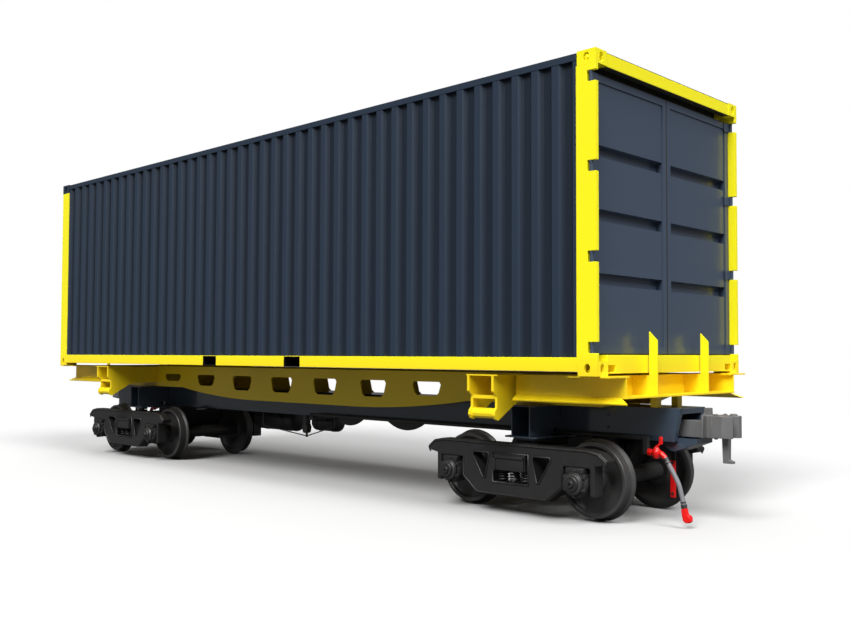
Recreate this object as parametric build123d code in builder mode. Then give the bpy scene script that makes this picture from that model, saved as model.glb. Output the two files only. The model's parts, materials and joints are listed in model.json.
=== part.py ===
from build123d import *
from math import atan2, cos, hypot, radians, sin, tan
import os

os.makedirs("parts", exist_ok=True)

# Frame: millimetres, x along the wagon towards the door end, z up from the
# plane that the wheel flanges stand on, origin under the middle of the wagon.

# Container, outside sizes of a 30 ft box
box_length = 9125
box_width = 2438
box_height = 2591
deck_z = 1260

# Corner castings
casting_length = 178
casting_width = 162
casting_height = 118
casting_wall = 28
casting_floor = 16
casting_slot_length = 124
casting_slot_width = 63.5
foot_slot_cut = 20
eye_outline = (
    # sideways, up, from the middle of the casting's face
    (-10.5, -39.5),
    (10.5, -39.5),
    (25.5, -21),
    (25.5, 21),
    (10.5, 39.5),
    (-10.5, 39.5),
    (-25.5, 21),
    (-25.5, -21),
)

# Container frame
post_length = 187
post_plate = 38
post_leg_thickness = 34
far_post_plate = 20
far_post_leg = 132
hinge_notch_depth = 82
hinge_notch_height = 88
hinge_count = 4
hinge_foot_rise = 225
hinge_head_drop = 216
rail_face_inset = 3
bottom_rail_low = 34
bottom_rail_high = 148
bottom_rail_flange = 55
rail_wall = 6
top_rail_size = 60
top_rail_drop = 8
header_low_drop = 121
header_top_drop = 29
header_depth = 66
header_plate = 32
threshold_low = 20
threshold_high = 168
door_stop_overlap = 30
sill_notch_width = 115
sill_notch_height = 55
sill_notch_low = 12
frame_face_inset = 4.5

# Container skin
sheet = 3
wall_pitch_count = 42
wall_depth = 36
wall_slope = 34
end_pitch_count = 9
end_depth = 45
end_slope = 18
roof_pitch_count = 15
roof_depth = 20
roof_slope = 40
skin_inset = 6

# Container floor
fork_pocket_centre = 767
fork_pocket_width = 270
cross_member_width = 45
cross_member_wall = 5
cross_member_spacing = 400
board_thickness = 28
board_count = 8
board_gap = 4

# Doors
door_recess = 72
door_thickness = 74
door_frame_width = 62
door_edge_gap = 8
door_middle_gap = 10
door_foot_gap = 10
door_head_gap = 50
door_sheet = 5
trough_depth = 60
trough_height = 96
trough_slope = 12
trough_count = 3
trough_spacing = 515
trough_drop = 9
hinge_barrel_radius = 16
hinge_barrel_gap = 0.2
hinge_blade = 9
hinge_blade_reach = 110

# Cradle girders
girder_outer_y = 450
girder_width = 120
girder_plate = 12
girder_mid_depth = 405
girder_end_depth = 285
girder_flat_half = 900
girder_rise_x = 2560
girder_ramp_inset = 462.5
girder_tip_inset = 182.5
girder_tip_depth = 165
deck_gap = 2
fin_gap = 7.5
fin_reach = 78
fin_inner_rise = 368
fin_outer_rise = 290
hole_width = 420
hole_top_depth = 110
hole_slant = 50
hole_cut = 30
hole_table = (
    # centre x, depth of the hole's lower edge
    (400, 292),
    (1200, 288),
    (2000, 250),
    (2800, 205),
)
cross_bar_positions = (-2400, -1600, -800, 0, 800, 1600, 2400)
cross_bar_height = 80
cross_bar_width = 60
saddle_positions = (-800, 0, 800)
saddle_plate_width = 90
saddle_plate_height = 60
saddle_web = 8
bogie_saddle_length = 300

# End frames of the cradle, insets and overhangs from the container's end and side
beam_web_inset = 284
beam_plate = 12
beam_start_inset = 1021.5
beam_overhang = 88.5
beam_depth = 172
skirt_outer_inset = 207
skirt_drop = 46
skirt_plate = 14
skirt_start_inset = 1002.5
skirt_overhang = 27.5
skirt_lap = 15
skirt_rake = 119
end_web_inset = 162.5
end_flange_inset = 177.5
end_flange_overhang = 92.5
end_flange_plate = 16
end_pad_inset = 87.5
end_pad_y = 180
end_pad_length = 60
end_pad_width = 80
outrigger_insets = (802.5, 482.5)
outrigger_depth = 150
seat_plate = 14
seat_inset = 312.5
seat_side_inset = 49
seat_lap = 60
spigot_length = 90
spigot_width = 46
spigot_height = 62
spigot_chamfer = 14

# Tilting hook brackets, insets from the container's end and side
bracket_plate = 25
bracket_insets = (1357.5, 1082.5)
bracket_cap_inset = 1365.5
bracket_cap_plate = 12
bracket_cap_side_inset = 369
bracket_side_inset = 24
bracket_neck_inset = 75
bracket_tube_inset = 99
bracket_tube_depth = 340
bracket_tube_radius = 46
neck_bar = 30
neck_depth = 198
back_plate_depth = 240
hook_root_depth = 230
hook_outline = (
    # inset from the side, depth below the deck, from the hook's nose inwards
    (24, 147),
    (75, 190),
    (75, 286),
    (45, 318),
    (39, 352),
    (59, 386),
    (91, 398),
    (240, 311),
    (364, 240),
)

# Centre sill
sill_half_width = 220
sill_top_z = 980
sill_bottom_z = 695
sill_wall = 14
sill_overhang = 167.5
sill_rake = 65
sill_openings = (
    # middle x, length
    (-1450, 2300),
    (1450, 2300),
)
sill_opening_width = 200
draft_stop_inset = 650
draft_stop_length = 60
striker_length = 70
pocket_half_width = 165
pocket_low_z = 726
pocket_high_z = 930
tray_half_width = 150
tray_wall = 16
tray_outline = (
    # x past the sill's end, z
    (-280, 695),
    (-130, 610),
    (-90, 610),
    (100, 683),
    (100, 726),
    (-90, 726),
    (-130, 700),
)
tray_hollow = (
    # x past the sill's end, z
    (-250, 690),
    (-125, 626),
    (-93, 626),
    (84, 694),
    (84, 740),
    (-50, 740),
    (-50, 690),
)

# Body bolsters
bolster_flange_width = 360
bolster_end_y = 690
bolster_top_plate = 16
bolster_bottom_plate = 16
bolster_web = 12
bolster_web_spacing = 200
bolster_top_z = 975
centre_plate_radius = 150
centre_plate_bottom_z = 640
side_bearer_y = 580
side_bearer_length = 180
side_bearer_width = 90
bearer_bottom_z = 652
pipe_passage = 64

# Running gear, metre gauge
bogie_inset = 1330
wheelbase = 1400
tread_radius = 328
axle_z = 355
axle_end_y = 902
journal_radius = 60
wheelset_table = (
    # name, end of the wagon, side of the bogie's middle
    ("near_outer", 1, 1),
    ("near_inner", 1, -1),
    ("far_inner", -1, -1),
    ("far_outer", -1, 1),
)
wheel_profile = (
    # y, radius, from the wheel's back to the end of the journal
    (464, 76),
    (464, 355),
    (494, 328),
    (587.5, 328),
    (587.5, 276),
    (545, 276),
    (545, 60),
    (902, 60),
)

# Bogie side frames, right half of the outline
side_frame_y = 770
side_frame_thickness = 130
frame_outline = (
    # x past the axle, z
    (120, 640),
    (230, 620),
    (305, 560),
    (285, 520),
    (180, 500),
    (180, 250),
    (135, 250),
    (135, 485),
    (-135, 485),
    (-135, 300),
)
frame_foot_z = 165
frame_foot_run = 200
slot_outer_edge = (
    # x past the axle, z
    (-272, 545),
    (-260, 520),
)
slot_inner_edge = (
    # x past the window's edge, z
    (118, 318),
    (90, 318),
    (43, 528),
    (62, 545),
)
window_half = 200
window_low_z = 285
window_high_z = 550
frame_pocket_z = 485
bearing_radius = 122
bearing_start_y = 668
bearing_end_y = 874
bearing_gap = 1
adapter_width = 180

# Bogie bolster and springs
bogie_bolster_width = 350
bogie_bolster_low_z = 402
bogie_bolster_high_z = 545
bogie_bolster_mid_top_z = 610
bogie_bolster_mid_y = 690
bogie_bolster_end_y = 852
king_block_y = 200
king_block_top_z = 660
bowl_gap = 0.5
bogie_bearer_top_z = 646
spring_radius = 48
spring_places = (-128, 0, 128)

# Brake beams
brake_beam_inset = 410
beam_bar = 56
shoe_gap = 8
shoe_thickness = 56
shoe_width = 80
shoe_half_angle = radians(26)
shoe_y = 545
brake_arm_y = 330
brake_arm_width = 40
arm_low_z = 360
arm_high_z = 430

# Couplers
coupler_z = 804
shank_height = 140
shank_width = 130
coupler_pin_inset = 310
coupler_pin_radius = 38
pin_gap = 0.5
head_reach = 132
head_low_z = 743
head_high_z = 924
head_outline = (
    # x past the sill's end, y, guard arm towards -y and knuckle towards +y
    (132, -95),
    (190, -130),
    (320, -130),
    (406, -104),
    (398, -80),
    (310, -62),
    (272, -22),
    (280, 8),
    (360, 4),
    (402, 22),
    (406, 60),
    (382, 104),
    (320, 130),
    (190, 130),
    (132, 95),
)
lug_outline = (
    # x past the sill's end, z
    (108, 860),
    (172, 860),
    (166, 985),
    (115, 985),
)
leg_outline = (
    # x past the sill's end, z
    (270, 760),
    (330, 760),
    (326, 562),
    (363, 548),
    (363, 530),
    (278, 530),
)
leg_half_width = 25

# Train pipe, angle cocks and hoses
train_pipe_y = -300
train_pipe_z = 718
train_pipe_radius = 17
pipe_end_inset = 280
elbow_width = 42
cross_pipe_z = 670
tee_length = 60
pipe_clip_count = 4
clip_length = 30
cock_z = 605
cock_half_width = 24
cock_outline = (
    # x past the sill's end, z
    (-259, 586),
    (-200, 580),
    (-170, 560),
    (-145, 530),
    (-112.4, 544),
    (-75.6, 568),
    (-90, 610),
    (-130, 636),
    (-200, 640),
    (-259, 624),
)
handle_half_width = 7
handle_outline = (
    # x past the sill's end, z
    (-162, 620),
    (-130, 620),
    (-124, 742),
    (-144, 742),
)
hose_radius = 20
hose_route = (
    # x past the sill's end, z
    (-94, 556),
    (11, 395),
    (45, 294),
    (73, 166),
)
gladhand_half_width = 22
gladhand_outline = (
    # x past the sill's end, z
    (51.52, 161.25),
    (60, 95),
    (85, 52),
    (120, 49),
    (141, 65),
    (132, 100),
    (106, 120),
    (94.5, 170.65),
)

# Brake equipment under the sill
vessel_table = (
    # x, y, z, radius, length: brake cylinder, air reservoir
    (-445, 330, 575, 110, 380),
    (-1500, 380, 560, 140, 760),
)
hanger_plate = 12
valve_y = -200
valve_half_width = 35
valve_outline = (
    # x, z
    (-250, 695),
    (-186, 695),
    (-190, 600),
    (-170, 560),
    (-180, 500),
    (-205, 484),
    (-229, 484),
    (-254, 500),
    (-264, 560),
    (-244, 600),
)
hung_plate_y = -175
hung_plate = 12
hung_plates = (
    # start x, lowest x, stop x, lowest z
    (265, 507, 766, 611),
    (1152, 1450, 1724, 608),
)
rod_y = -200
rod_radius = 7
rod_lever = (
    # x, z
    (-229, 484),
    (-205, 484),
    (-203, 436),
    (-231, 436),
)
rod_low = (-217, 448)
rod_ends = (
    # x, z
    (-1075, 530),
    (293, 585),
)
rod_link = 16


def closed_face(points):
    """Face inside the closed run of straight edges through the points."""
    Polygon(*points, align=None)


def corrugation(start, end, count, depth, slope):
    """Outer face of a folded sheet, half a crest at each end."""
    pitch = (end - start) / count
    flat = pitch / 2 - slope
    points = [(start, 0)]
    for n in range(count):
        left = start + n * pitch
        points.append((left + flat / 2, 0))
        points.append((left + flat / 2 + slope, -depth))
        points.append((left + pitch - flat / 2 - slope, -depth))
        points.append((left + pitch - flat / 2, 0))
    points.append((end, 0))
    return points


def folded_sheet(face, thickness):
    """Outer points, then the same points one thickness further in."""
    return face + [(u, v - thickness) for u, v in reversed(face)]


def lined_sheet(face, depth):
    """Outer points, closed by a flat inner face at the depth."""
    return face + [(face[-1][0], -depth), (face[0][0], -depth)]


def cut_corners(points, cut):
    """Closed outline whose corners are cut off at the distance from each."""
    made = []
    for before, here, after in zip(points[-1:] + points[:-1], points, points[1:] + points[:1]):
        for other in (before, after):
            share = cut / hypot(other[0] - here[0], other[1] - here[1])
            made.append(tuple(a + share * (b - a) for a, b in zip(here, other)))
    return made


def shoe_points(axle_x, towards, radius):
    """Points along a shoe's face round the axle, from its foot to its head."""
    angles = [share * shoe_half_angle for share in (-1, -1 / 3, 1 / 3, 1)]
    return [(axle_x + towards * radius * cos(a), axle_z + radius * sin(a)) for a in angles]


def from_sill_end(points, end):
    """Points given past the sill's end, at the near or the far end."""
    return [(end * (sill_end_x + x), z) for x, z in points]


def write(part, name):
    part.label = name
    export_step(part, f"parts/{name}.step")


# Planes of the container that other pieces seat on
end_x = box_length / 2
side_y = box_width / 2
roof_z = deck_z + box_height
post_x = end_x - post_length
rail_y = side_y - rail_face_inset
rail_low_z = deck_z + bottom_rail_low
rail_high_z = deck_z + bottom_rail_high
floor_z = rail_high_z - rail_wall
top_rail_z = roof_z - top_rail_drop - top_rail_size
casting_inner_y = side_y - casting_width
header_low_z = roof_z - header_low_drop
header_top_z = roof_z - header_top_drop
threshold_low_z = deck_z + threshold_low
threshold_high_z = deck_z + threshold_high
door_face_x = end_x - door_recess
door_back_x = door_face_x - door_thickness
door_stop_x = post_x + post_leg_thickness
front_x = end_x - frame_face_inset
hinge_low_z = deck_z + hinge_foot_rise
hinge_pitch = (roof_z - hinge_head_drop - hinge_low_z) / (hinge_count - 1)
hinge_heights = [hinge_low_z + n * hinge_pitch for n in range(hinge_count)]
corners = ((1, -1), (1, 1), (-1, -1), (-1, 1))

# Planes of the wagon that other pieces seat on
sill_end_x = end_x + sill_overhang
sill_foot_x = sill_end_x - sill_rake
bogie_centre_x = sill_end_x - bogie_inset
coupler_pin_x = sill_end_x - coupler_pin_inset
pipe_end_x = sill_end_x - pipe_end_inset
girder_tip_x = end_x - girder_tip_inset
girder_ramp_x = end_x - girder_ramp_inset
beam_web_y = side_y - beam_web_inset
beam_start_x = end_x - beam_start_inset
beam_end_x = end_x + beam_overhang


def casting_centre(end, side):
    return end * (end_x - casting_length / 2), side * (side_y - casting_width / 2)


# Corner castings: hollow blocks with a slot in each outer face, flat-sided underneath
casting_groups = {
    "castings_top_near": ((1, -1), (1, 1)),
    "castings_top_far": ((-1, -1), (-1, 1)),
    "castings_bottom": corners,
}
for group, places in casting_groups.items():
    on_top = "top" in group
    low = roof_z - casting_height if on_top else deck_z
    slot_z = roof_z - casting_wall if on_top else deck_z
    hollow_z = low + casting_floor if on_top else low + casting_wall
    middle = low + casting_height / 2
    centres = [casting_centre(end, side) for end, side in places]
    hollow_length = casting_length - 2 * casting_wall
    hollow_width = casting_width - 2 * casting_wall
    with BuildPart() as castings:
        with BuildSketch(Plane.XY.offset(low)):
            with Locations(*centres):
                Rectangle(casting_length, casting_width)
        extrude(amount=casting_height)
        with BuildSketch(Plane.XY.offset(slot_z)) as slots:
            with Locations(*centres):
                if on_top:
                    SlotOverall(casting_slot_length, casting_slot_width)
                else:
                    Rectangle(casting_slot_length, casting_slot_width)
            if not on_top:
                chamfer(slots.vertices(), foot_slot_cut)
        extrude(amount=casting_wall, mode=Mode.SUBTRACT)
        with BuildSketch(Plane.XY.offset(hollow_z)):
            with Locations(*centres):
                Rectangle(hollow_length, hollow_width)
        extrude(amount=casting_height - casting_wall - casting_floor, mode=Mode.SUBTRACT)
        for side in (-1, 1):
            eyes = [(cx, middle) for cx, cy in centres if cy * side > 0]
            with BuildSketch(Plane.XZ.offset(-side * side_y)):
                with Locations(*eyes):
                    closed_face(eye_outline)
            extrude(amount=side * casting_wall, mode=Mode.SUBTRACT)
        for end in sorted({end for end, side in places}):
            eyes = [(cy, middle) for cx, cy in centres if cx * end > 0]
            with BuildSketch(Plane.YZ.offset(end * end_x)):
                with Locations(*eyes):
                    closed_face(eye_outline)
            extrude(amount=-end * casting_wall, mode=Mode.SUBTRACT)
    write(castings.part, group)


# Corner posts: near pair with door stop leg and hinge notches, far pair angled
post_low_z = rail_low_z
post_high_z = roof_z - casting_height
with BuildPart() as corner_posts:
    for side in (-1, 1):
        plate_y = side * (side_y - post_plate / 2)
        leg_y = side * (side_y - casting_width / 2)
        with BuildSketch(Plane.XY.offset(post_low_z)):
            with Locations(((post_x + end_x) / 2, plate_y)):
                Rectangle(post_length, post_plate)
            with Locations((post_x + post_leg_thickness / 2, leg_y)):
                Rectangle(post_leg_thickness, casting_width)
        extrude(amount=post_high_z - post_low_z)
        far_plate_y = side * (side_y - far_post_plate / 2)
        far_leg_y = side * (side_y - far_post_leg / 2)
        with BuildSketch(Plane.XY.offset(post_low_z)):
            with Locations((-(post_x + end_x) / 2, far_plate_y)):
                Rectangle(post_length, far_post_plate)
            with Locations((-end_x + far_post_plate / 2, far_leg_y)):
                Rectangle(far_post_plate, far_post_leg)
        extrude(amount=post_high_z - post_low_z)
    with BuildSketch(Plane.XY.offset(deck_z)):
        with Locations(*[casting_centre(end, side) for end, side in corners]):
            Rectangle(casting_length, casting_width)
    extrude(amount=casting_height, mode=Mode.SUBTRACT)
    notch_x = end_x - hinge_notch_depth / 2
    for side in (-1, 1):
        with BuildSketch(Plane.XZ.offset(-side * side_y)):
            with Locations(*[(notch_x, z) for z in hinge_heights]):
                Rectangle(hinge_notch_depth, hinge_notch_height)
        extrude(amount=side * post_plate, mode=Mode.SUBTRACT)
write(corner_posts.part, "corner_posts")

# Bottom rails: side channels with fork pockets, and the far end's cross rail
rail_height = rail_high_z - rail_low_z
with BuildPart() as bottom_rails:
    for side in (-1, 1):
        with BuildSketch(Plane.YZ.offset(-post_x)):
            closed_face(
                [
                    (side * rail_y, rail_low_z),
                    (side * rail_y, rail_high_z),
                    (side * (rail_y - bottom_rail_flange), rail_high_z),
                    (side * (rail_y - bottom_rail_flange), rail_high_z - rail_wall),
                    (side * (rail_y - rail_wall), rail_high_z - rail_wall),
                    (side * (rail_y - rail_wall), rail_low_z + rail_wall),
                    (side * (rail_y - bottom_rail_flange), rail_low_z + rail_wall),
                    (side * (rail_y - bottom_rail_flange), rail_low_z),
                ]
            )
        extrude(amount=2 * post_x)
        with BuildSketch(Plane.XY.offset(rail_low_z)):
            for end in (-1, 1):
                with Locations((end * fork_pocket_centre, side * rail_y)):
                    Rectangle(fork_pocket_width, 3 * bottom_rail_flange)
        extrude(amount=rail_height - rail_wall, mode=Mode.SUBTRACT)
    with BuildSketch(Plane.XZ):
        with BuildLine():
            rear = -front_x + bottom_rail_flange
            Polyline(
                (-front_x, rail_low_z),
                (rear, rail_low_z),
                (rear, rail_low_z + rail_wall),
                (-front_x + rail_wall, rail_low_z + rail_wall),
                (-front_x + rail_wall, rail_high_z - rail_wall),
                (rear, rail_high_z - rail_wall),
                (rear, rail_high_z),
                (-front_x, rail_high_z),
                close=True,
            )
        make_face()
    extrude(amount=casting_inner_y, both=True)
write(bottom_rails.part, "bottom_rails")


# Fork pockets: open trays that cross the container between the rails
with BuildPart() as fork_pockets:
    for end in (-1, 1):
        with BuildSketch(Plane.XZ):
            with Locations((end * fork_pocket_centre, (rail_low_z + floor_z) / 2)):
                Rectangle(fork_pocket_width, rail_height - rail_wall)
                Rectangle(
                    fork_pocket_width - 2 * rail_wall,
                    rail_height - 3 * rail_wall,
                    mode=Mode.SUBTRACT,
                )
        extrude(amount=rail_y, both=True)
write(fork_pockets.part, "fork_pockets")


# Floor cross members: channels between the side rails, clear of the pockets
member_low_z = rail_low_z + rail_wall
member_high_z = floor_z
member_half = int((post_x - cross_member_width) // cross_member_spacing)
pocket_reach = (fork_pocket_width + cross_member_width) / 2
member_places = [
    n * cross_member_spacing
    for n in range(-member_half, member_half + 1)
    if abs(abs(n * cross_member_spacing) - fork_pocket_centre) > pocket_reach
]
with BuildPart() as floor_cross_members:
    with BuildSketch(Plane.XZ):
        with Locations(*[(x, (member_low_z + member_high_z) / 2) for x in member_places]):
            Rectangle(cross_member_width, member_high_z - member_low_z)
        inner_shift = cross_member_wall
        with Locations(
            *[(x + inner_shift, (member_low_z + member_high_z) / 2) for x in member_places]
        ):
            Rectangle(
                cross_member_width,
                member_high_z - member_low_z - 2 * cross_member_wall,
                mode=Mode.SUBTRACT,
            )
    extrude(amount=rail_y - rail_wall, both=True)
write(floor_cross_members.part, "floor_cross_members")


# Floor boards along the container, with a small gap between them
board_start_x = -end_x + bottom_rail_flange + frame_face_inset + 2 * board_gap
board_end_x = post_x
board_span = 2 * (rail_y - bottom_rail_flange) - board_gap
board_pitch = board_span / board_count
with BuildPart() as floor_boards:
    with BuildSketch(Plane.XY.offset(floor_z)):
        for n in range(board_count):
            board_y = (n - (board_count - 1) / 2) * board_pitch
            with Locations(((board_start_x + board_end_x) / 2, board_y)):
                Rectangle(board_end_x - board_start_x, board_pitch - board_gap)
    extrude(amount=board_thickness)
write(floor_boards.part, "floor_boards")


# Side walls: folded sheet with a flat lining between the rails
wall_y = side_y - skin_inset
wall_face = corrugation(-post_x, post_x, wall_pitch_count, wall_depth, wall_slope)
wall_points = lined_sheet(wall_face, wall_depth + sheet)
for name, side in (("side_wall_right", -1), ("side_wall_left", 1)):
    with BuildPart() as side_wall:
        with BuildSketch(Plane.XY.offset(rail_high_z)):
            closed_face([(x, side * (wall_y + v)) for x, v in wall_points])
        extrude(amount=top_rail_z - rail_high_z)
    write(side_wall.part, name)


# Closed end wall between the far posts, lined like the side walls
end_wall_half = side_y - far_post_leg
end_face = corrugation(-end_wall_half, end_wall_half, end_pitch_count, end_depth, end_slope)
end_points = lined_sheet(end_face, end_depth + sheet)
end_wall_x = front_x - skin_inset
with BuildPart() as end_wall:
    with BuildSketch(Plane.XY.offset(rail_high_z)):
        closed_face([(-(end_wall_x + v), y) for y, v in end_points])
    extrude(amount=top_rail_z - rail_high_z)
    with BuildSketch(Plane.XY.offset(roof_z - casting_height)):
        with Locations(*[casting_centre(-1, side) for side in (-1, 1)]):
            Rectangle(casting_length, casting_width)
    extrude(amount=casting_height, mode=Mode.SUBTRACT)
write(end_wall.part, "end_wall")


# Top rails: square tubes along the sides and across the far end
rail_inner_y = rail_y - top_rail_size
with BuildPart() as top_rails:
    with BuildSketch(Plane.YZ.offset(-post_x)):
        for side in (-1, 1):
            with Locations((side * (rail_y - top_rail_size / 2), top_rail_z + top_rail_size / 2)):
                Rectangle(top_rail_size, top_rail_size)
                Rectangle(
                    top_rail_size - 2 * rail_wall,
                    top_rail_size - 2 * rail_wall,
                    mode=Mode.SUBTRACT,
                )
    extrude(amount=2 * post_x)
    with BuildSketch(Plane.XZ):
        with Locations((-front_x + top_rail_size / 2, top_rail_z + top_rail_size / 2)):
            Rectangle(top_rail_size, top_rail_size)
            Rectangle(
                top_rail_size - 2 * rail_wall,
                top_rail_size - 2 * rail_wall,
                mode=Mode.SUBTRACT,
            )
    extrude(amount=casting_inner_y, both=True)
write(top_rails.part, "top_rails")


# Roof: sheet with cross folds between the top rails, flat plates at both ends
roof_sheet_z = top_rail_z + top_rail_size
roof_face = corrugation(-post_x, post_x, roof_pitch_count, roof_depth, roof_slope)
with BuildPart() as roof_panel:
    with BuildSketch(Plane.XZ):
        closed_face([(x, roof_sheet_z + v) for x, v in folded_sheet(roof_face, sheet)])
    extrude(amount=rail_inner_y, both=True)
    for start, stop in ((-front_x + top_rail_size, -post_x), (post_x, front_x)):
        with BuildSketch(Plane.XY.offset(roof_sheet_z - sheet)):
            with Locations(((start + stop) / 2, 0)):
                Rectangle(stop - start, 2 * casting_inner_y)
        extrude(amount=sheet)
write(roof_panel.part, "roof_panel")


# Door frame: header gutter and threshold, each with a stop behind the doors
header_rear_x = door_stop_x
header_stop_z = header_low_z - door_head_gap - door_stop_overlap
with BuildPart() as door_frame:
    with BuildSketch(Plane.XZ):
        closed_face(
            [
                (front_x, header_low_z),
                (front_x, roof_sheet_z - sheet),
                (post_x, roof_sheet_z - sheet),
                (post_x, header_stop_z),
                (header_rear_x, header_stop_z),
                (header_rear_x, header_top_z - header_plate),
                (front_x - header_depth, header_top_z - header_plate),
                (front_x - header_depth, header_low_z),
            ]
        )
    extrude(amount=casting_inner_y, both=True)
    with BuildSketch(Plane.XZ):
        closed_face(
            [
                (post_x, threshold_low_z),
                (front_x, threshold_low_z),
                (front_x, threshold_high_z),
                (header_rear_x, threshold_high_z),
                (header_rear_x, threshold_high_z + door_foot_gap + door_stop_overlap),
                (post_x, threshold_high_z + door_foot_gap + door_stop_overlap),
            ]
        )
    extrude(amount=casting_inner_y, both=True)
    with BuildSketch(Plane.YZ.offset(front_x)):
        for side in (-1, 1):
            notch_y = side * (casting_inner_y - sill_notch_width / 2)
            notch_z = threshold_low_z + sill_notch_low + sill_notch_height / 2
            with Locations((notch_y, notch_z)):
                Rectangle(sill_notch_width, sill_notch_height)
    extrude(amount=-header_depth, mode=Mode.SUBTRACT)
write(door_frame.part, "door_frame")


# Doors: tube frame round a sheet with cross troughs, hinge blades and barrels
door_low_z = threshold_high_z + door_foot_gap
door_high_z = header_low_z - door_head_gap
trough_middle_z = (door_low_z + door_high_z) / 2 - trough_drop
door_outer_y = side_y - post_plate - door_edge_gap
door_inner_y = door_middle_gap / 2
hinge_barrel_height = hinge_notch_height - 2 * hinge_barrel_gap
hinge_x = door_face_x + hinge_barrel_radius + 2
hinge_y = side_y - post_plate / 2
for name, side in (("door_right", -1), ("door_left", 1)):
    middle_y = side * (door_outer_y + door_inner_y) / 2
    door_width = door_outer_y - door_inner_y
    with BuildPart() as door:
        with BuildSketch(Plane.YZ.offset(door_back_x)):
            with Locations((middle_y, (door_low_z + door_high_z) / 2)):
                Rectangle(door_width, door_high_z - door_low_z)
                Rectangle(
                    door_width - 2 * door_frame_width,
                    door_high_z - door_low_z - 2 * door_frame_width,
                    mode=Mode.SUBTRACT,
                )
        extrude(amount=door_thickness)
        panel_x = door_face_x - 2 * door_sheet
        face = [(panel_x, door_low_z + door_frame_width)]
        for n in range(trough_count):
            z = trough_middle_z + (n - (trough_count - 1) / 2) * trough_spacing
            face.append((panel_x, z - trough_height / 2))
            face.append((panel_x - trough_depth, z - trough_height / 2 + trough_slope))
            face.append((panel_x - trough_depth, z + trough_height / 2 - trough_slope))
            face.append((panel_x, z + trough_height / 2))
        face.append((panel_x, door_high_z - door_frame_width))
        inner = [(x - door_sheet, z) for x, z in reversed(face)]
        with BuildSketch(Plane.XZ.offset(-middle_y)):
            closed_face(face + inner)
        extrude(amount=door_width / 2 - door_frame_width, both=True)
        for z in hinge_heights:
            barrel_low_z = z - hinge_barrel_height / 2
            blade_end_y = hinge_y - hinge_blade_reach
            with BuildSketch(Plane.XY.offset(barrel_low_z)):
                with Locations((hinge_x, side * hinge_y)):
                    Circle(hinge_barrel_radius)
                closed_face(
                    [
                        (door_face_x, side * hinge_y),
                        (door_face_x, side * blade_end_y),
                        (door_face_x + hinge_blade, side * blade_end_y),
                        (door_face_x + hinge_blade, side * hinge_y),
                    ]
                )
            extrude(amount=hinge_barrel_height)
    write(door.part, name)


# Cradle girders: fish-belly plates with cut-outs, flanges and end stop fins
girder_top_z = deck_z - deck_gap
fin_x = end_x + fin_gap
fin_end_x = fin_x + fin_reach
fin_foot_z = deck_z - girder_tip_depth
belly_z = deck_z - girder_mid_depth
shoulder_z = deck_z - girder_end_depth
belly_mid_x = (girder_flat_half + girder_rise_x) / 2
belly_mid_z = belly_z + (shoulder_z - belly_z) / 4


def girder_outline(inset, mode):
    """Girder without its fins, top and bottom edges moved in by the inset."""
    low, high, tip = belly_z + inset, shoulder_z + inset, fin_foot_z + inset
    top = girder_top_z - inset
    with BuildLine() as outline:
        Line((-girder_flat_half, low), (girder_flat_half, low))
        for end in (-1, 1):
            ThreePointArc(
                (end * girder_flat_half, low),
                (end * belly_mid_x, belly_mid_z + inset),
                (end * girder_rise_x, high),
            )
            Line((end * girder_rise_x, high), (end * girder_ramp_x, high))
            Line((end * girder_ramp_x, high), (end * girder_tip_x, tip))
            Line((end * girder_tip_x, tip), (end * girder_tip_x, top))
        Line((-girder_tip_x, top), (girder_tip_x, top))
    make_face(outline.edges(), mode=mode)


with BuildPart() as cradle_girders:
    for side in (-1, 1):
        with BuildSketch(Plane.XZ.offset(-side * girder_outer_y)):
            girder_outline(0, Mode.ADD)
            for end in (-1, 1):
                closed_face(
                    [
                        (end * girder_tip_x, fin_foot_z),
                        (end * fin_end_x, fin_foot_z),
                        (end * fin_end_x, deck_z + fin_outer_rise),
                        (end * fin_x, deck_z + fin_inner_rise),
                        (end * fin_x, girder_top_z),
                        (end * girder_tip_x, girder_top_z),
                    ]
                )
            for centre, depth in hole_table:
                for end in (-1, 1):
                    hole = [
                        (end * centre - hole_width / 2, deck_z - hole_top_depth),
                        (end * centre - hole_width / 2 + hole_slant, deck_z - depth),
                        (end * centre + hole_width / 2 - hole_slant, deck_z - depth),
                        (end * centre + hole_width / 2, deck_z - hole_top_depth),
                    ]
                    Polygon(*cut_corners(hole, hole_cut), align=None, mode=Mode.SUBTRACT)
        extrude(amount=side * girder_plate)
        with BuildSketch(Plane.XZ.offset(-side * girder_outer_y)):
            girder_outline(0, Mode.ADD)
            girder_outline(girder_plate, Mode.SUBTRACT)
        extrude(amount=side * girder_width)
write(cradle_girders.part, "cradle_girders")


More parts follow.
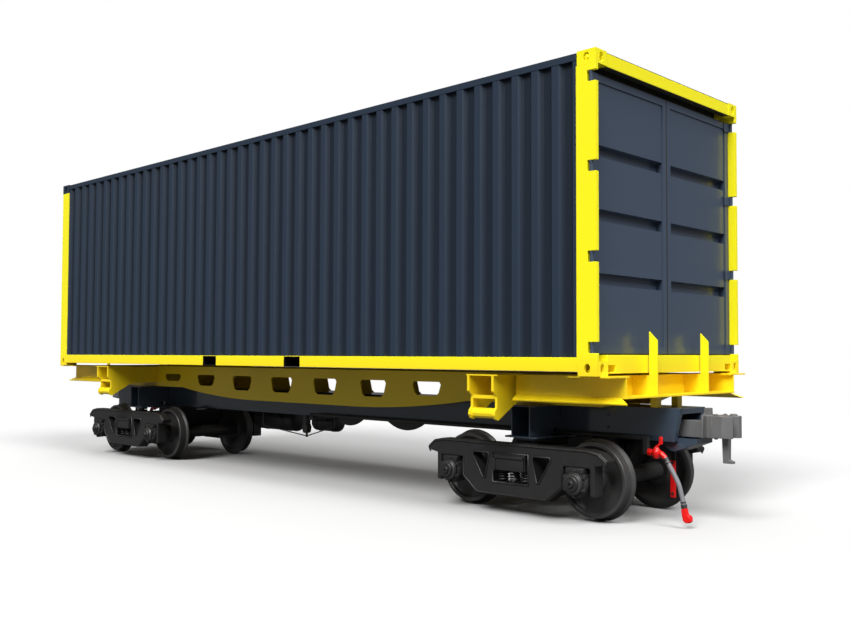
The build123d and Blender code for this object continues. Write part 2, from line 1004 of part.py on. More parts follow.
# Cross bars between the girders, saddles on the sill and over the bogies
web_inner_y = girder_outer_y - girder_plate
bar_z = girder_top_z - girder_plate - cross_bar_height / 2
saddle_low_z = belly_z + girder_plate
with BuildPart() as cradle_cross_members:
    with BuildSketch(Plane.XZ):
        with Locations(*[(x, bar_z) for x in cross_bar_positions]):
            Rectangle(cross_bar_width, cross_bar_height)
    extrude(amount=web_inner_y, both=True)
    with BuildSketch(Plane.XY.offset(saddle_low_z)):
        for side in (-1, 1):
            for x in saddle_positions:
                with Locations((x, side * (sill_half_width + web_inner_y) / 2)):
                    Rectangle(saddle_plate_width, web_inner_y - sill_half_width)
    extrude(amount=saddle_plate_height)
    for end in (-1, 1):
        for shift in (-bogie_saddle_length / 2, bogie_saddle_length / 2):
            with BuildSketch(Plane.YZ.offset(end * bogie_centre_x + shift)):
                closed_face(
                    [
                        (-sill_half_width, sill_top_z),
                        (sill_half_width, sill_top_z),
                        (sill_half_width, shoulder_z + girder_plate),
                        (web_inner_y, shoulder_z + girder_plate),
                        (web_inner_y, girder_top_z - girder_plate),
                        (-web_inner_y, girder_top_z - girder_plate),
                        (-web_inner_y, shoulder_z + girder_plate),
                        (-sill_half_width, shoulder_z + girder_plate),
                    ]
                )
            extrude(amount=saddle_web, both=True)
write(cradle_cross_members.part, "cradle_cross_members")


# End frames: cross web, bottom flange, side beams with skirts, casting seats
beam_low_z = deck_z - beam_depth
flange_z = fin_foot_z - end_flange_plate
skirt_reach = beam_web_inset - skirt_outer_inset
skirt_slope = atan2(skirt_drop, skirt_reach)
skirt_width = hypot(skirt_drop, skirt_reach)
skirt_start_x = end_x - skirt_start_inset
skirt_end_x = end_x + skirt_overhang
flange_start_x = end_x - end_flange_inset
flange_end_x = end_x + end_flange_overhang
end_web_x = end_x - end_web_inset
end_pad_x = end_x - end_pad_inset
outrigger_positions = [end_x - inset for inset in outrigger_insets]
seat_start_x = end_x - seat_inset
seat_outer_y = side_y - seat_side_inset
spigot_x = end_x - casting_length / 2
spigot_y = side_y - casting_width / 2
for name, end in (("end_frame_near", 1), ("end_frame_far", -1)):
    with BuildPart() as end_frame:
        with BuildSketch(Plane.XY.offset(flange_z)):
            with Locations((end * (flange_start_x + flange_end_x) / 2, 0)):
                Rectangle(flange_end_x - flange_start_x, 2 * beam_web_y)
        extrude(amount=end_flange_plate)
        with BuildSketch(Plane.XY.offset(fin_foot_z)):
            web_x = end * (end_web_x + beam_plate / 2)
            with Locations((web_x, 0)):
                Rectangle(beam_plate, 2 * web_inner_y)
            for side in (-1, 1):
                with Locations((web_x, side * (girder_outer_y + beam_web_y) / 2)):
                    Rectangle(beam_plate, beam_web_y - girder_outer_y)
        extrude(amount=girder_top_z - fin_foot_z)
        with BuildSketch(Plane.XY.offset(sill_top_z)):
            with Locations((end * end_pad_x, -end_pad_y), (end * end_pad_x, end_pad_y)):
                Rectangle(end_pad_length, end_pad_width)
        extrude(amount=flange_z - sill_top_z)
        for side in (-1, 1):
            with BuildSketch(Plane.XY.offset(beam_low_z)):
                beam_middle = end * (beam_start_x + beam_end_x) / 2
                with Locations((beam_middle, side * (beam_web_y - beam_plate / 2))):
                    Rectangle(beam_end_x - beam_start_x, beam_plate)
            extrude(amount=girder_top_z - beam_low_z)
            with BuildSketch(Plane.XY.offset(girder_top_z - outrigger_depth)):
                outrigger_y = side * (girder_outer_y + beam_web_y) / 2
                with Locations(*[(end * x, outrigger_y) for x in outrigger_positions]):
                    Rectangle(beam_plate, beam_web_y - girder_outer_y)
            extrude(amount=outrigger_depth)
            with BuildSketch(Plane.XY.offset(deck_z - seat_plate)):
                seat_y = side * (beam_web_y - seat_lap + seat_outer_y) / 2
                with Locations((end * (seat_start_x + beam_end_x) / 2, seat_y)):
                    Rectangle(beam_end_x - seat_start_x, seat_outer_y - beam_web_y + seat_lap)
            extrude(amount=seat_plate)
            with BuildSketch(Plane.XY.offset(deck_z)):
                with Locations((end * spigot_x, side * spigot_y)):
                    Rectangle(spigot_length, spigot_width)
            extrude(amount=spigot_height)
            skirt_plane = Plane(
                origin=(0, side * beam_web_y, beam_low_z),
                x_dir=(1, 0, 0),
                z_dir=(0, side * sin(skirt_slope), cos(skirt_slope)),
            )
            with BuildSketch(skirt_plane):
                closed_face(
                    [
                        (end * (skirt_start_x - skirt_lap), -side * beam_plate),
                        (end * skirt_end_x, -side * beam_plate),
                        (end * (skirt_end_x + skirt_rake), side * skirt_width),
                        (end * skirt_start_x, side * skirt_width),
                    ]
                )
            extrude(amount=-skirt_plate)
        chamfer(end_frame.faces().group_by(Axis.Z)[-1].edges(), spigot_chamfer)
    write(end_frame.part, name)


# Tilting hook brackets: two hook plates, cap, neck bar, back plate and cross tube
tube_z = deck_z - bracket_tube_depth
cap_low_z = girder_top_z - bracket_cap_plate
bracket_positions = [end_x - inset for inset in bracket_insets]
first_plate_x, last_plate_x = bracket_positions
cap_start_x = end_x - bracket_cap_inset
cap_inner_y = side_y - bracket_cap_side_inset
bracket_outer_y = side_y - bracket_side_inset
bracket_neck_y = side_y - bracket_neck_inset
bracket_tube_y = side_y - bracket_tube_inset
with BuildPart() as hook_brackets:
    for end in (-1, 1):
        for side in (-1, 1):
            hook_points = [(side * (side_y - y), deck_z - depth) for y, depth in hook_outline]
            hook_points.append((side * girder_outer_y, deck_z - hook_root_depth))
            hook_points.append((side * girder_outer_y, cap_low_z))
            hook_points.append((side * bracket_outer_y, cap_low_z))
            for start_x in bracket_positions:
                with BuildSketch(Plane.YZ.offset(end * start_x)):
                    closed_face(hook_points)
                extrude(amount=end * bracket_plate)
            with BuildSketch(Plane.YZ.offset(end * first_plate_x)):
                with Locations((side * bracket_tube_y, tube_z)):
                    RegularPolygon(bracket_tube_radius, 12)
                with Locations((side * (bracket_neck_y - neck_bar / 2), deck_z - neck_depth)):
                    Rectangle(neck_bar, neck_bar)
                back_z = (deck_z - back_plate_depth + cap_low_z) / 2
                with Locations((side * cap_inner_y, back_z)):
                    Rectangle(beam_plate, cap_low_z - deck_z + back_plate_depth)
            extrude(amount=end * (last_plate_x - first_plate_x))
            with BuildSketch(Plane.XY.offset(cap_low_z)):
                cap_x = end * (cap_start_x + beam_start_x) / 2
                cap_y = side * (cap_inner_y + bracket_outer_y) / 2
                with Locations((cap_x, cap_y)):
                    Rectangle(beam_start_x - cap_start_x, bracket_outer_y - cap_inner_y)
            extrude(amount=bracket_cap_plate)
write(hook_brackets.part, "hook_brackets")


# Centre sill: box with raked ends, open below, with coupler pockets and trays
sill_mid_z = (sill_top_z + sill_bottom_z) / 2
shank_low_z = coupler_z - shank_height / 2
draft_stop_x = sill_end_x - draft_stop_inset
with BuildPart() as centre_sill:
    with BuildSketch(Plane.XZ):
        closed_face(
            [
                (-sill_end_x, sill_top_z),
                (sill_end_x, sill_top_z),
                (sill_foot_x, sill_bottom_z),
                (-sill_foot_x, sill_bottom_z),
            ]
        )
    extrude(amount=sill_half_width, both=True)
    for start_x, stop_x in (
        (-draft_stop_x, draft_stop_x),
        (draft_stop_x + draft_stop_length, sill_foot_x - striker_length),
        (striker_length - sill_foot_x, -draft_stop_x - draft_stop_length),
    ):
        with BuildSketch(Plane.YZ.offset(start_x)):
            with Locations((0, sill_mid_z)):
                Rectangle(
                    2 * (sill_half_width - sill_wall),
                    sill_top_z - sill_bottom_z - 2 * sill_wall,
                )
        extrude(amount=stop_x - start_x, mode=Mode.SUBTRACT)
    with BuildSketch(Plane.XY.offset(sill_bottom_z)):
        for middle_x, length in sill_openings:
            with Locations((middle_x, 0)):
                Rectangle(length, sill_opening_width)
    extrude(amount=sill_wall, mode=Mode.SUBTRACT)
    for end in (-1, 1):
        with BuildSketch(Plane.YZ.offset(end * (sill_foot_x - 2 * striker_length))):
            with Locations((0, (pocket_low_z + pocket_high_z) / 2)):
                Rectangle(2 * pocket_half_width, pocket_high_z - pocket_low_z)
        extrude(amount=end * 4 * striker_length, mode=Mode.SUBTRACT)
        with BuildSketch(Plane.XY.offset(sill_bottom_z + sill_wall)):
            with Locations((end * coupler_pin_x, 0)):
                RegularPolygon(coupler_pin_radius, 12)
        extrude(amount=sill_top_z - sill_bottom_z - 2 * sill_wall)
        with BuildSketch(Plane.XZ):
            closed_face(from_sill_end(tray_outline, end))
        extrude(amount=tray_half_width, both=True)
        with BuildSketch(Plane.XZ):
            closed_face(from_sill_end(tray_hollow, end))
        extrude(amount=tray_half_width - tray_wall, both=True, mode=Mode.SUBTRACT)
write(centre_sill.part, "centre_sill")


# Body bolsters: box arms from the sill, centre plate and side bearers below
bolster_low_z = sill_bottom_z - bolster_bottom_plate
web_low_z = sill_bottom_z
with BuildPart() as body_bolsters:
    for end in (-1, 1):
        x = end * bogie_centre_x
        with BuildSketch(Plane.XY.offset(bolster_low_z)):
            with Locations((x, 0)):
                Rectangle(bolster_flange_width, 2 * bolster_end_y)
        extrude(amount=bolster_bottom_plate)
        with BuildSketch(Plane.XY.offset(centre_plate_bottom_z)):
            with Locations((x, 0)):
                RegularPolygon(centre_plate_radius, 24)
        extrude(amount=bolster_low_z - centre_plate_bottom_z)
        with BuildSketch(Plane.XY.offset(bearer_bottom_z)):
            with Locations((x, -side_bearer_y), (x, side_bearer_y)):
                Rectangle(side_bearer_length, side_bearer_width)
        extrude(amount=bolster_low_z - bearer_bottom_z)
        arm_y = (sill_half_width + bolster_end_y) / 2
        arm_length = bolster_end_y - sill_half_width
        with BuildSketch(Plane.XY.offset(bolster_top_z - bolster_top_plate)):
            with Locations((x, -arm_y), (x, arm_y)):
                Rectangle(bolster_flange_width, arm_length)
        extrude(amount=bolster_top_plate)
        with BuildSketch(Plane.XY.offset(web_low_z)):
            for web_x in (x - bolster_web_spacing / 2, x + bolster_web_spacing / 2):
                with Locations((web_x, -arm_y), (web_x, arm_y)):
                    Rectangle(bolster_web, arm_length)
        extrude(amount=bolster_top_z - bolster_top_plate - web_low_z)
        with BuildSketch(Plane.XY.offset(web_low_z)):
            with Locations((x, train_pipe_y), (x, -train_pipe_y)):
                Rectangle(bolster_flange_width, pipe_passage)
        extrude(amount=pipe_passage, mode=Mode.SUBTRACT)
write(body_bolsters.part, "body_bolsters")


# Train pipe: one run each side of the sill, from the middle to the angle cock
clip_pitch = pipe_end_x / pipe_clip_count
for name, end in (("near", 1), ("far", -1)):
    pipe_y = end * train_pipe_y
    with BuildPart() as train_pipe:
        with BuildSketch(Plane.YZ.offset(-end * tee_length / 2)):
            with Locations((pipe_y, train_pipe_z)):
                RegularPolygon(train_pipe_radius, 8, major_radius=False, rotation=22.5)
        extrude(amount=end * (tee_length / 2 + pipe_end_x))
        with BuildSketch(Plane.XY.offset(train_pipe_z - train_pipe_radius)):
            for n in range(pipe_clip_count):
                clip_x = end * (n + 0.5) * clip_pitch
                with Locations((clip_x, (end * -sill_half_width + pipe_y) / 2)):
                    Rectangle(clip_length, -train_pipe_y - sill_half_width)
        extrude(amount=2 * train_pipe_radius)
        with BuildSketch(Plane.XY.offset(cock_z - train_pipe_radius)):
            with Locations((end * pipe_end_x, pipe_y)):
                Rectangle(elbow_width, elbow_width)
        extrude(amount=train_pipe_z - cock_z + 2 * train_pipe_radius)
    write(train_pipe.part, f"train_pipe_{name}")


# Cross pipe under the sill, with a tee below each run of the train pipe
with BuildPart() as cross_pipe:
    with BuildSketch(Plane.XY.offset(cross_pipe_z - train_pipe_radius)):
        Rectangle(2 * train_pipe_radius, -2 * train_pipe_y)
    extrude(amount=2 * train_pipe_radius)
    with BuildSketch(Plane.XY.offset(cross_pipe_z - train_pipe_radius)):
        for side in (-1, 1):
            with Locations((0, side * train_pipe_y)):
                Rectangle(tee_length, 2 * train_pipe_radius)
    extrude(amount=train_pipe_z - cross_pipe_z)
write(cross_pipe.part, "cross_pipe")


# Angle cocks at both ends of the train pipe
with BuildPart() as angle_cocks:
    for end in (-1, 1):
        cock_plane = Plane.XZ.offset(-end * train_pipe_y)
        with BuildSketch(cock_plane):
            closed_face(from_sill_end(cock_outline, end))
        extrude(amount=cock_half_width, both=True)
        with BuildSketch(cock_plane):
            closed_face(from_sill_end(handle_outline, end))
        extrude(amount=handle_half_width, both=True)
write(angle_cocks.part, "angle_cocks")


# Brake hoses: free cords from the cocks down to the gladhands
def hose_radii(route):
    """Bend radii that use most of the shorter run beside each turn."""
    radii = []
    for before, here, after in zip(route, route[1:], route[2:]):
        run_in = (here[0] - before[0], here[1] - before[1])
        run_out = (after[0] - here[0], after[1] - here[1])
        turn = abs(atan2(run_out[1], run_out[0]) - atan2(run_in[1], run_in[0]))
        shorter = min(hypot(*run_in), hypot(*run_out))
        radii.append(0.45 * shorter / tan(turn / 2))
    return radii


for name, end in (("near", 1), ("far", -1)):
    route = from_sill_end(hose_route, end)
    radii = hose_radii(hose_route)
    hose_y = end * train_pipe_y
    with BuildPart() as brake_hose:
        with BuildLine(Plane.XZ.offset(-hose_y)) as hose_line:
            FilletPolyline(*route, radius=radii)
        hose_path = hose_line.wires()[0]
        with BuildSketch(Plane(origin=hose_path @ 0, z_dir=hose_path % 0)) as section:
            RegularPolygon(hose_radius, 12)
        sweep(path=hose_path)
    write(brake_hose.part, f"brake_hose_{name}")
    swept = section.sketch.area * hose_path.length
    print("hose", name, [round(r) for r in radii], round(brake_hose.part.volume / swept, 4))
    with BuildPart() as gladhand:
        with BuildSketch(Plane.XZ.offset(-hose_y)):
            closed_face(from_sill_end(gladhand_outline, end))
        extrude(amount=gladhand_half_width, both=True)
    write(gladhand.part, f"gladhand_{name}")


# Brake equipment hung from the sill: cylinder, reservoir, valve and plates
with BuildPart() as brake_equipment:
    for x, y, z, radius, length in vessel_table:
        with BuildSketch(Plane.YZ.offset(x - length / 2)):
            with Locations((y, z)):
                Circle(radius)
        extrude(amount=length)
        for hanger_x in (x - length / 4, x + length / 4):
            with BuildSketch(Plane.YZ.offset(hanger_x)):
                closed_face(
                    [
                        (sill_half_width / 2, sill_bottom_z),
                        (sill_half_width, sill_bottom_z),
                        (y, z + 0.9 * radius),
                        (y - 0.9 * radius, z),
                    ]
                )
            extrude(amount=hanger_plate)
    with BuildSketch(Plane.XZ.offset(-valve_y)):
        closed_face(valve_outline)
    extrude(amount=valve_half_width, both=True)
    for start_x, middle_x, stop_x, low_z in hung_plates:
        with BuildSketch(Plane.XZ.offset(-hung_plate_y)):
            with BuildLine():
                Line((start_x, sill_bottom_z), (stop_x, sill_bottom_z))
                ThreePointArc((start_x, sill_bottom_z), (middle_x, low_z), (stop_x, sill_bottom_z))
            make_face()
        extrude(amount=hung_plate / 2, both=True)
write(brake_equipment.part, "brake_equipment")


# Release rods from the valve along the sill, rigid
with BuildPart() as brake_rods:
    with BuildSketch(Plane.XZ.offset(-rod_y)):
        closed_face(rod_lever)
    extrude(amount=rod_radius, both=True)
    low = Vector(rod_low[0], rod_y, rod_low[1])
    for x, z in rod_ends:
        reach = Vector(x, rod_y, z) - low
        with BuildSketch(Plane(origin=low, z_dir=reach)):
            RegularPolygon(rod_radius, 6)
        extrude(amount=reach.length)
        with BuildSketch(Plane.XY.offset(z)):
            with Locations((x, rod_y)):
                Rectangle(rod_link, rod_link)
        extrude(amount=sill_bottom_z - z)
write(brake_rods.part, "brake_rods")


# Couplers: shank with pin bore, head with jaw, lug above and leg below
head_start_x = sill_end_x + head_reach
for name, end in (("coupler_near", 1), ("coupler_far", -1)):
    with BuildPart() as coupler:
        with BuildSketch(Plane.XY.offset(shank_low_z)):
            closed_face(
                [
                    (end * coupler_pin_x, -end * shank_width / 2),
                    (end * head_start_x, -end * shank_width / 2),
                    (end * head_start_x, end * shank_width / 2),
                    (end * coupler_pin_x, end * shank_width / 2),
                ]
            )
            with Locations((end * coupler_pin_x, 0)):
                RegularPolygon(shank_width / 2, 12, major_radius=False)
        extrude(amount=shank_height)
        with BuildSketch(Plane.XY.offset(head_low_z)):
            closed_face([(end * (sill_end_x + x), end * y) for x, y in head_outline])
        extrude(amount=head_high_z - head_low_z)
        with BuildSketch(Plane.XZ):
            closed_face(from_sill_end(lug_outline, end))
            closed_face(from_sill_end(leg_outline, end))
        extrude(amount=leg_half_width, both=True)
        with BuildSketch(Plane.XY.offset(shank_low_z)):
            with Locations((end * coupler_pin_x, 0)):
                Circle(coupler_pin_radius + pin_gap)
        extrude(amount=shank_height, mode=Mode.SUBTRACT)
    write(coupler.part, name)


# Bogie side frames: cast truss with spring window, slots and axle openings
half_base = wheelbase / 2
half_frame = [(half_base + x, z) for x, z in frame_outline]
half_frame.append((window_half + frame_foot_run, frame_foot_z))
slot_outline = [(half_base + x, z) for x, z in slot_outer_edge]
slot_outline += [(window_half + x, z) for x, z in slot_inner_edge]
for name, end in (("near", 1), ("far", -1)):
    bogie_x = end * bogie_centre_x
    with BuildPart() as side_frames:
        for side in (-1, 1):
            with BuildSketch(Plane.XZ.offset(-side * (side_frame_y - side_frame_thickness / 2))):
                right_half = [(bogie_x + x, z) for x, z in half_frame]
                left_half = [(bogie_x - x, z) for x, z in reversed(half_frame)]
                closed_face(right_half + left_half)
                with Locations((bogie_x, (window_low_z + window_high_z) / 2)):
                    Rectangle(2 * window_half, window_high_z - window_low_z, mode=Mode.SUBTRACT)
                for half in (-1, 1):
                    slot = [(bogie_x + half * x, z) for x, z in slot_outline]
                    Polygon(*slot, align=None, mode=Mode.SUBTRACT)
            extrude(amount=-side * side_frame_thickness)
    write(side_frames.part, f"side_frames_{name}")

    with BuildPart() as bolster:
        with BuildSketch(Plane.XY.offset(bogie_bolster_low_z)):
            with Locations((bogie_x, 0)):
                Rectangle(bogie_bolster_width, 2 * bogie_bolster_end_y)
        extrude(amount=bogie_bolster_high_z - bogie_bolster_low_z)
        with BuildSketch(Plane.XY.offset(bogie_bolster_high_z)):
            with Locations((bogie_x, 0)):
                Rectangle(bogie_bolster_width, 2 * bogie_bolster_mid_y)
        extrude(amount=bogie_bolster_mid_top_z - bogie_bolster_high_z)
        with BuildSketch(Plane.XY.offset(bogie_bolster_mid_top_z)):
            with Locations((bogie_x, 0)):
                Rectangle(bogie_bolster_width, 2 * king_block_y)
        extrude(amount=king_block_top_z - bogie_bolster_mid_top_z)
        with BuildSketch(Plane.XY.offset(king_block_top_z)):
            with Locations((bogie_x, 0)):
                Circle(centre_plate_radius + bowl_gap)
        extrude(
            amount=centre_plate_bottom_z - bowl_gap - king_block_top_z,
            mode=Mode.SUBTRACT,
        )
        with BuildSketch(Plane.XY.offset(bogie_bolster_mid_top_z)):
            with Locations((bogie_x, -side_bearer_y), (bogie_x, side_bearer_y)):
                Rectangle(side_bearer_length, side_bearer_width)
        extrude(amount=bogie_bearer_top_z - bogie_bolster_mid_top_z)
    write(bolster.part, f"bogie_bolster_{name}")

    with BuildPart() as springs:
        with BuildSketch(Plane.XY.offset(window_low_z)):
            for side in (-1, 1):
                for x in spring_places:
                    with Locations((bogie_x + x, side * side_frame_y)):
                        RegularPolygon(spring_radius, 8)
        extrude(amount=bogie_bolster_low_z - window_low_z)
    write(springs.part, f"springs_{name}")

    with BuildPart() as bearings:
        for side in (-1, 1):
            with BuildSketch(Plane.XZ.offset(-side * bearing_start_y)):
                for axle in (-1, 1):
                    axle_x = bogie_x + axle * half_base
                    with Locations((axle_x, axle_z)):
                        RegularPolygon(bearing_radius, 12)
                    with Locations((axle_x, (axle_z + frame_pocket_z) / 2)):
                        Rectangle(adapter_width, frame_pocket_z - axle_z)
                    with Locations((axle_x, axle_z)):
                        bore = journal_radius + bearing_gap
                        RegularPolygon(bore, 12, major_radius=False, mode=Mode.SUBTRACT)
            extrude(amount=-side * (bearing_end_y - bearing_start_y))
    write(bearings.part, f"bearings_{name}")

    with BuildPart() as brake_beams:
        inner, outer = tread_radius + shoe_gap, tread_radius + shoe_gap + shoe_thickness
        for half in (-1, 1):
            beam_x = bogie_x + half * (half_base - brake_beam_inset)
            axle_x = bogie_x + half * half_base
            with BuildSketch(Plane.XZ):
                with Locations((beam_x, axle_z)):
                    Rectangle(beam_bar, beam_bar)
            extrude(amount=shoe_y + shoe_width / 2, both=True)
            for side in (-1, 1):
                with BuildSketch(Plane.XZ.offset(-side * shoe_y)):
                    back = shoe_points(axle_x, -half, outer)
                    closed_face(shoe_points(axle_x, -half, inner) + back[::-1])
                extrude(amount=shoe_width / 2, both=True)
            arm_start = bogie_x + half * bogie_bolster_width / 2
            with BuildSketch(Plane.XY.offset(arm_low_z)):
                for side in (-1, 1):
                    with Locations(((arm_start + beam_x) / 2, side * brake_arm_y)):
                        Rectangle(abs(beam_x - arm_start), brake_arm_width)
            extrude(amount=arm_high_z - arm_low_z)
    write(brake_beams.part, f"brake_beams_{name}")


# Wheelsets: axle and two wheels with flanges, turned in one
for name, end, half in wheelset_table:
    x = end * (bogie_centre_x + half * half_base)
    profile = [(y, axle_z + radius) for y, radius in wheel_profile]
    mirrored = [(-y, z) for y, z in reversed(profile)]
    with BuildPart() as wheelset:
        with BuildSketch(Plane.YZ.offset(x)):
            closed_face(mirrored + profile + [(axle_end_y, axle_z), (-axle_end_y, axle_z)])
        revolve(axis=Axis((x, 0, axle_z), (0, 1, 0)))
    write(wheelset.part, f"wheelset_{name}")
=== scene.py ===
import bpy
import json
from math import cos, pi, radians, sin
from mathutils import Matrix, Vector


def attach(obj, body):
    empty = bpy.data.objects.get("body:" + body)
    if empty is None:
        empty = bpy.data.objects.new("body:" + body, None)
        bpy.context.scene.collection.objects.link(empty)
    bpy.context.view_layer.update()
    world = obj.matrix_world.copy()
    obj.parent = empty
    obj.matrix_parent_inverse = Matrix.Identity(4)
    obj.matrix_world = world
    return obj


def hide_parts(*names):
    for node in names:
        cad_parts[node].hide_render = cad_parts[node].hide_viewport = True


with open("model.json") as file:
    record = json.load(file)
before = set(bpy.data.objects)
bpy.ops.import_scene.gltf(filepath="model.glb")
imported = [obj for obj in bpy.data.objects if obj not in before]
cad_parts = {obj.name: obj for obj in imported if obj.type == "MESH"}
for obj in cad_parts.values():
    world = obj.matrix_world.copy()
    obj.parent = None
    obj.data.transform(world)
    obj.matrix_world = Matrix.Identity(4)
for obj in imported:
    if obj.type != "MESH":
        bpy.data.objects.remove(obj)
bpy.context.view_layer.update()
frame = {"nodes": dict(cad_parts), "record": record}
print("frame loaded:", len(frame["nodes"]), "nodes")

# Camera as the photograph was taken, and a plain white studio round the wagon
viewSettings = {
    "place": (8.693, -7.464, 1.427),
    "heading": 133.748,
    "tilt": 2.149,
    "roll": 0.184,
    "lens": 40.13,
    "sensor": 36,
    "reach": 300,
}
studioSettings = {
    "floorHalf": 60,
    "floorTone": 0.55,
    "floorBounce": 0.10,
    "floorRoughness": 0.9,
    "floorSpecular": 0.1,
    "worldTone": 1.0,
    "worldLight": 0.16,
    "floorFade": (7.0, 16.0),
    "lampReach": 20,
}
lampSettings = [
    {"name": "sideLamp", "from": (0.25, -0.95, 0.95), "strength": 3.7, "angle": 30},
    {"name": "endLamp", "from": (0.95, -0.15, 0.95), "strength": 2.6, "angle": 30},
    {"name": "topLamp", "from": (-0.1, 0.1, 1.0), "strength": 1.2, "angle": 70},
]


def aimAt(thing, place, target, roll=0):
    turn = (Vector(target) - Vector(place)).to_track_quat("-Z", "Y").to_matrix()
    thing.matrix_world = Matrix.Translation(place) @ (turn @ Matrix.Rotation(roll, 3, "Z")).to_4x4()


def setCamera():
    data = bpy.data.cameras.new("photoCamera")
    data.lens = viewSettings["lens"]
    data.sensor_width = viewSettings["sensor"]
    data.clip_end = viewSettings["reach"]
    camera = bpy.data.objects.new("photoCamera", data)
    bpy.context.scene.collection.objects.link(camera)
    heading, tilt = radians(viewSettings["heading"]), radians(viewSettings["tilt"])
    ahead = Vector((cos(heading) * cos(tilt), sin(heading) * cos(tilt), sin(tilt)))
    place = Vector(viewSettings["place"])
    aimAt(camera, place, place + ahead, radians(viewSettings["roll"]))
    bpy.context.scene.camera = camera


def setLamps():
    for lamp in lampSettings:
        data = bpy.data.lights.new(lamp["name"], "SUN")
        data.energy = lamp["strength"]
        data.angle = radians(lamp["angle"])
        thing = bpy.data.objects.new(lamp["name"], data)
        bpy.context.scene.collection.objects.link(thing)
        aimAt(thing, Vector(lamp["from"]) * studioSettings["lampReach"], (0, 0, 0))


def cameraMask(nodes, links):  # 1 where the camera looks straight at it or through glass
    path = nodes.new("ShaderNodeLightPath")
    seen = nodes.new("ShaderNodeMath")
    seen.operation = "MAXIMUM"
    links.new(path.outputs["Is Camera Ray"], seen.inputs[0])
    links.new(path.outputs["Is Transmission Ray"], seen.inputs[1])
    return seen.outputs[0]


def setWorld():
    world = bpy.data.worlds.new("studioWorld")
    world.use_nodes = True
    nodes, links = world.node_tree.nodes, world.node_tree.links
    background = nodes["Background"]
    background.inputs["Color"].default_value = (1, 1, 1, 1)
    strength = nodes.new("ShaderNodeMapRange")
    strength.inputs["To Min"].default_value = studioSettings["worldLight"]
    strength.inputs["To Max"].default_value = studioSettings["worldTone"]
    links.new(cameraMask(nodes, links), strength.inputs["Value"])
    links.new(strength.outputs["Result"], background.inputs["Strength"])
    bpy.context.scene.world = world


def setFloor():
    bpy.ops.mesh.primitive_plane_add(size=2 * studioSettings["floorHalf"], location=(0, 0, 0))
    floor = bpy.context.object
    floor.name = "studioFloor"
    material = bpy.data.materials.new("studioFloor")
    material.use_nodes = True
    nodes, links = material.node_tree.nodes, material.node_tree.links
    tone = studioSettings["floorTone"]
    shader = nodes["Principled BSDF"]
    bounce = studioSettings["floorBounce"]
    seen = cameraMask(nodes, links)
    shade = nodes.new("ShaderNodeMapRange")
    shade.inputs["To Min"].default_value, shade.inputs["To Max"].default_value = bounce, tone
    links.new(seen, shade.inputs["Value"])
    links.new(shade.outputs["Result"], shader.inputs["Base Color"])
    shader.inputs["Roughness"].default_value = studioSettings["floorRoughness"]
    shader.inputs["Specular IOR Level"].default_value = studioSettings["floorSpecular"]
    place = nodes.new("ShaderNodeTexCoord")
    length = nodes.new("ShaderNodeVectorMath")
    length.operation = "LENGTH"
    links.new(place.outputs["Object"], length.inputs[0])
    fade = nodes.new("ShaderNodeMapRange")
    fade.interpolation_type = "SMOOTHSTEP"
    fade.inputs["From Min"].default_value, fade.inputs["From Max"].default_value = studioSettings["floorFade"]
    links.new(length.outputs["Value"], fade.inputs["Value"])
    glow = nodes.new("ShaderNodeEmission")
    glow.inputs["Strength"].default_value = studioSettings["worldTone"]
    blend = nodes.new("ShaderNodeMixShader")
    only = nodes.new("ShaderNodeMath")
    only.operation = "MULTIPLY"
    links.new(fade.outputs["Result"], only.inputs[0])
    links.new(seen, only.inputs[1])
    links.new(only.outputs[0], blend.inputs["Fac"])
    links.new(shader.outputs["BSDF"], blend.inputs[1])
    links.new(glow.outputs["Emission"], blend.inputs[2])
    links.new(blend.outputs["Shader"], nodes["Material Output"].inputs["Surface"])
    floor.data.materials.append(material)


bpy.context.scene.view_settings.view_transform = "Standard"
setCamera()
setLamps()
setWorld()
setFloor()
print("studio set")


# Shader node groups that the finishes share
groupSettings = {
    "smearScale": 9.0,
    "patchScale": 0.06,
    "patchGloss": 0.25,
    "speckScale": 14.0,
}


def newGroup(name, inputs, outputs):
    group = bpy.data.node_groups.new(name, "ShaderNodeTree")
    for label, kind, value in inputs:
        socket = group.interface.new_socket(label, in_out="INPUT", socket_type=kind)
        if value is not None:
            socket.default_value = value
    for label, kind in outputs:
        group.interface.new_socket(label, in_out="OUTPUT", socket_type=kind)
    return group, group.nodes.new("NodeGroupInput"), group.nodes.new("NodeGroupOutput")


def addNoise(group, vector, scale, detail, roughness):
    noise = group.nodes.new("ShaderNodeTexNoise")
    noise.inputs["Detail"].default_value = detail
    noise.inputs["Roughness"].default_value = roughness
    group.links.new(vector, noise.inputs["Vector"])
    if isinstance(scale, (int, float)):
        noise.inputs["Scale"].default_value = scale
    else:
        group.links.new(scale, noise.inputs["Scale"])
    return noise.outputs["Fac"]


def addMath(group, operation, first, second):
    node = group.nodes.new("ShaderNodeMath")
    node.operation = operation
    for value, socket in ((first, node.inputs[0]), (second, node.inputs[1])):
        if isinstance(value, (int, float)):
            socket.default_value = value
        else:
            group.links.new(value, socket)
    return node.outputs[0]


def addMix(group, factor, first, second):
    node = group.nodes.new("ShaderNodeMix")
    node.data_type = "RGBA"
    group.links.new(factor, node.inputs["Factor"])
    group.links.new(first, node.inputs["A"])
    group.links.new(second, node.inputs["B"])
    return node.outputs["Result"]


def addBump(group, height, distance, strength):
    node = group.nodes.new("ShaderNodeBump")
    node.inputs["Strength"].default_value = strength
    group.links.new(height, node.inputs["Height"])
    group.links.new(distance, node.inputs["Distance"])
    return node.outputs["Normal"]


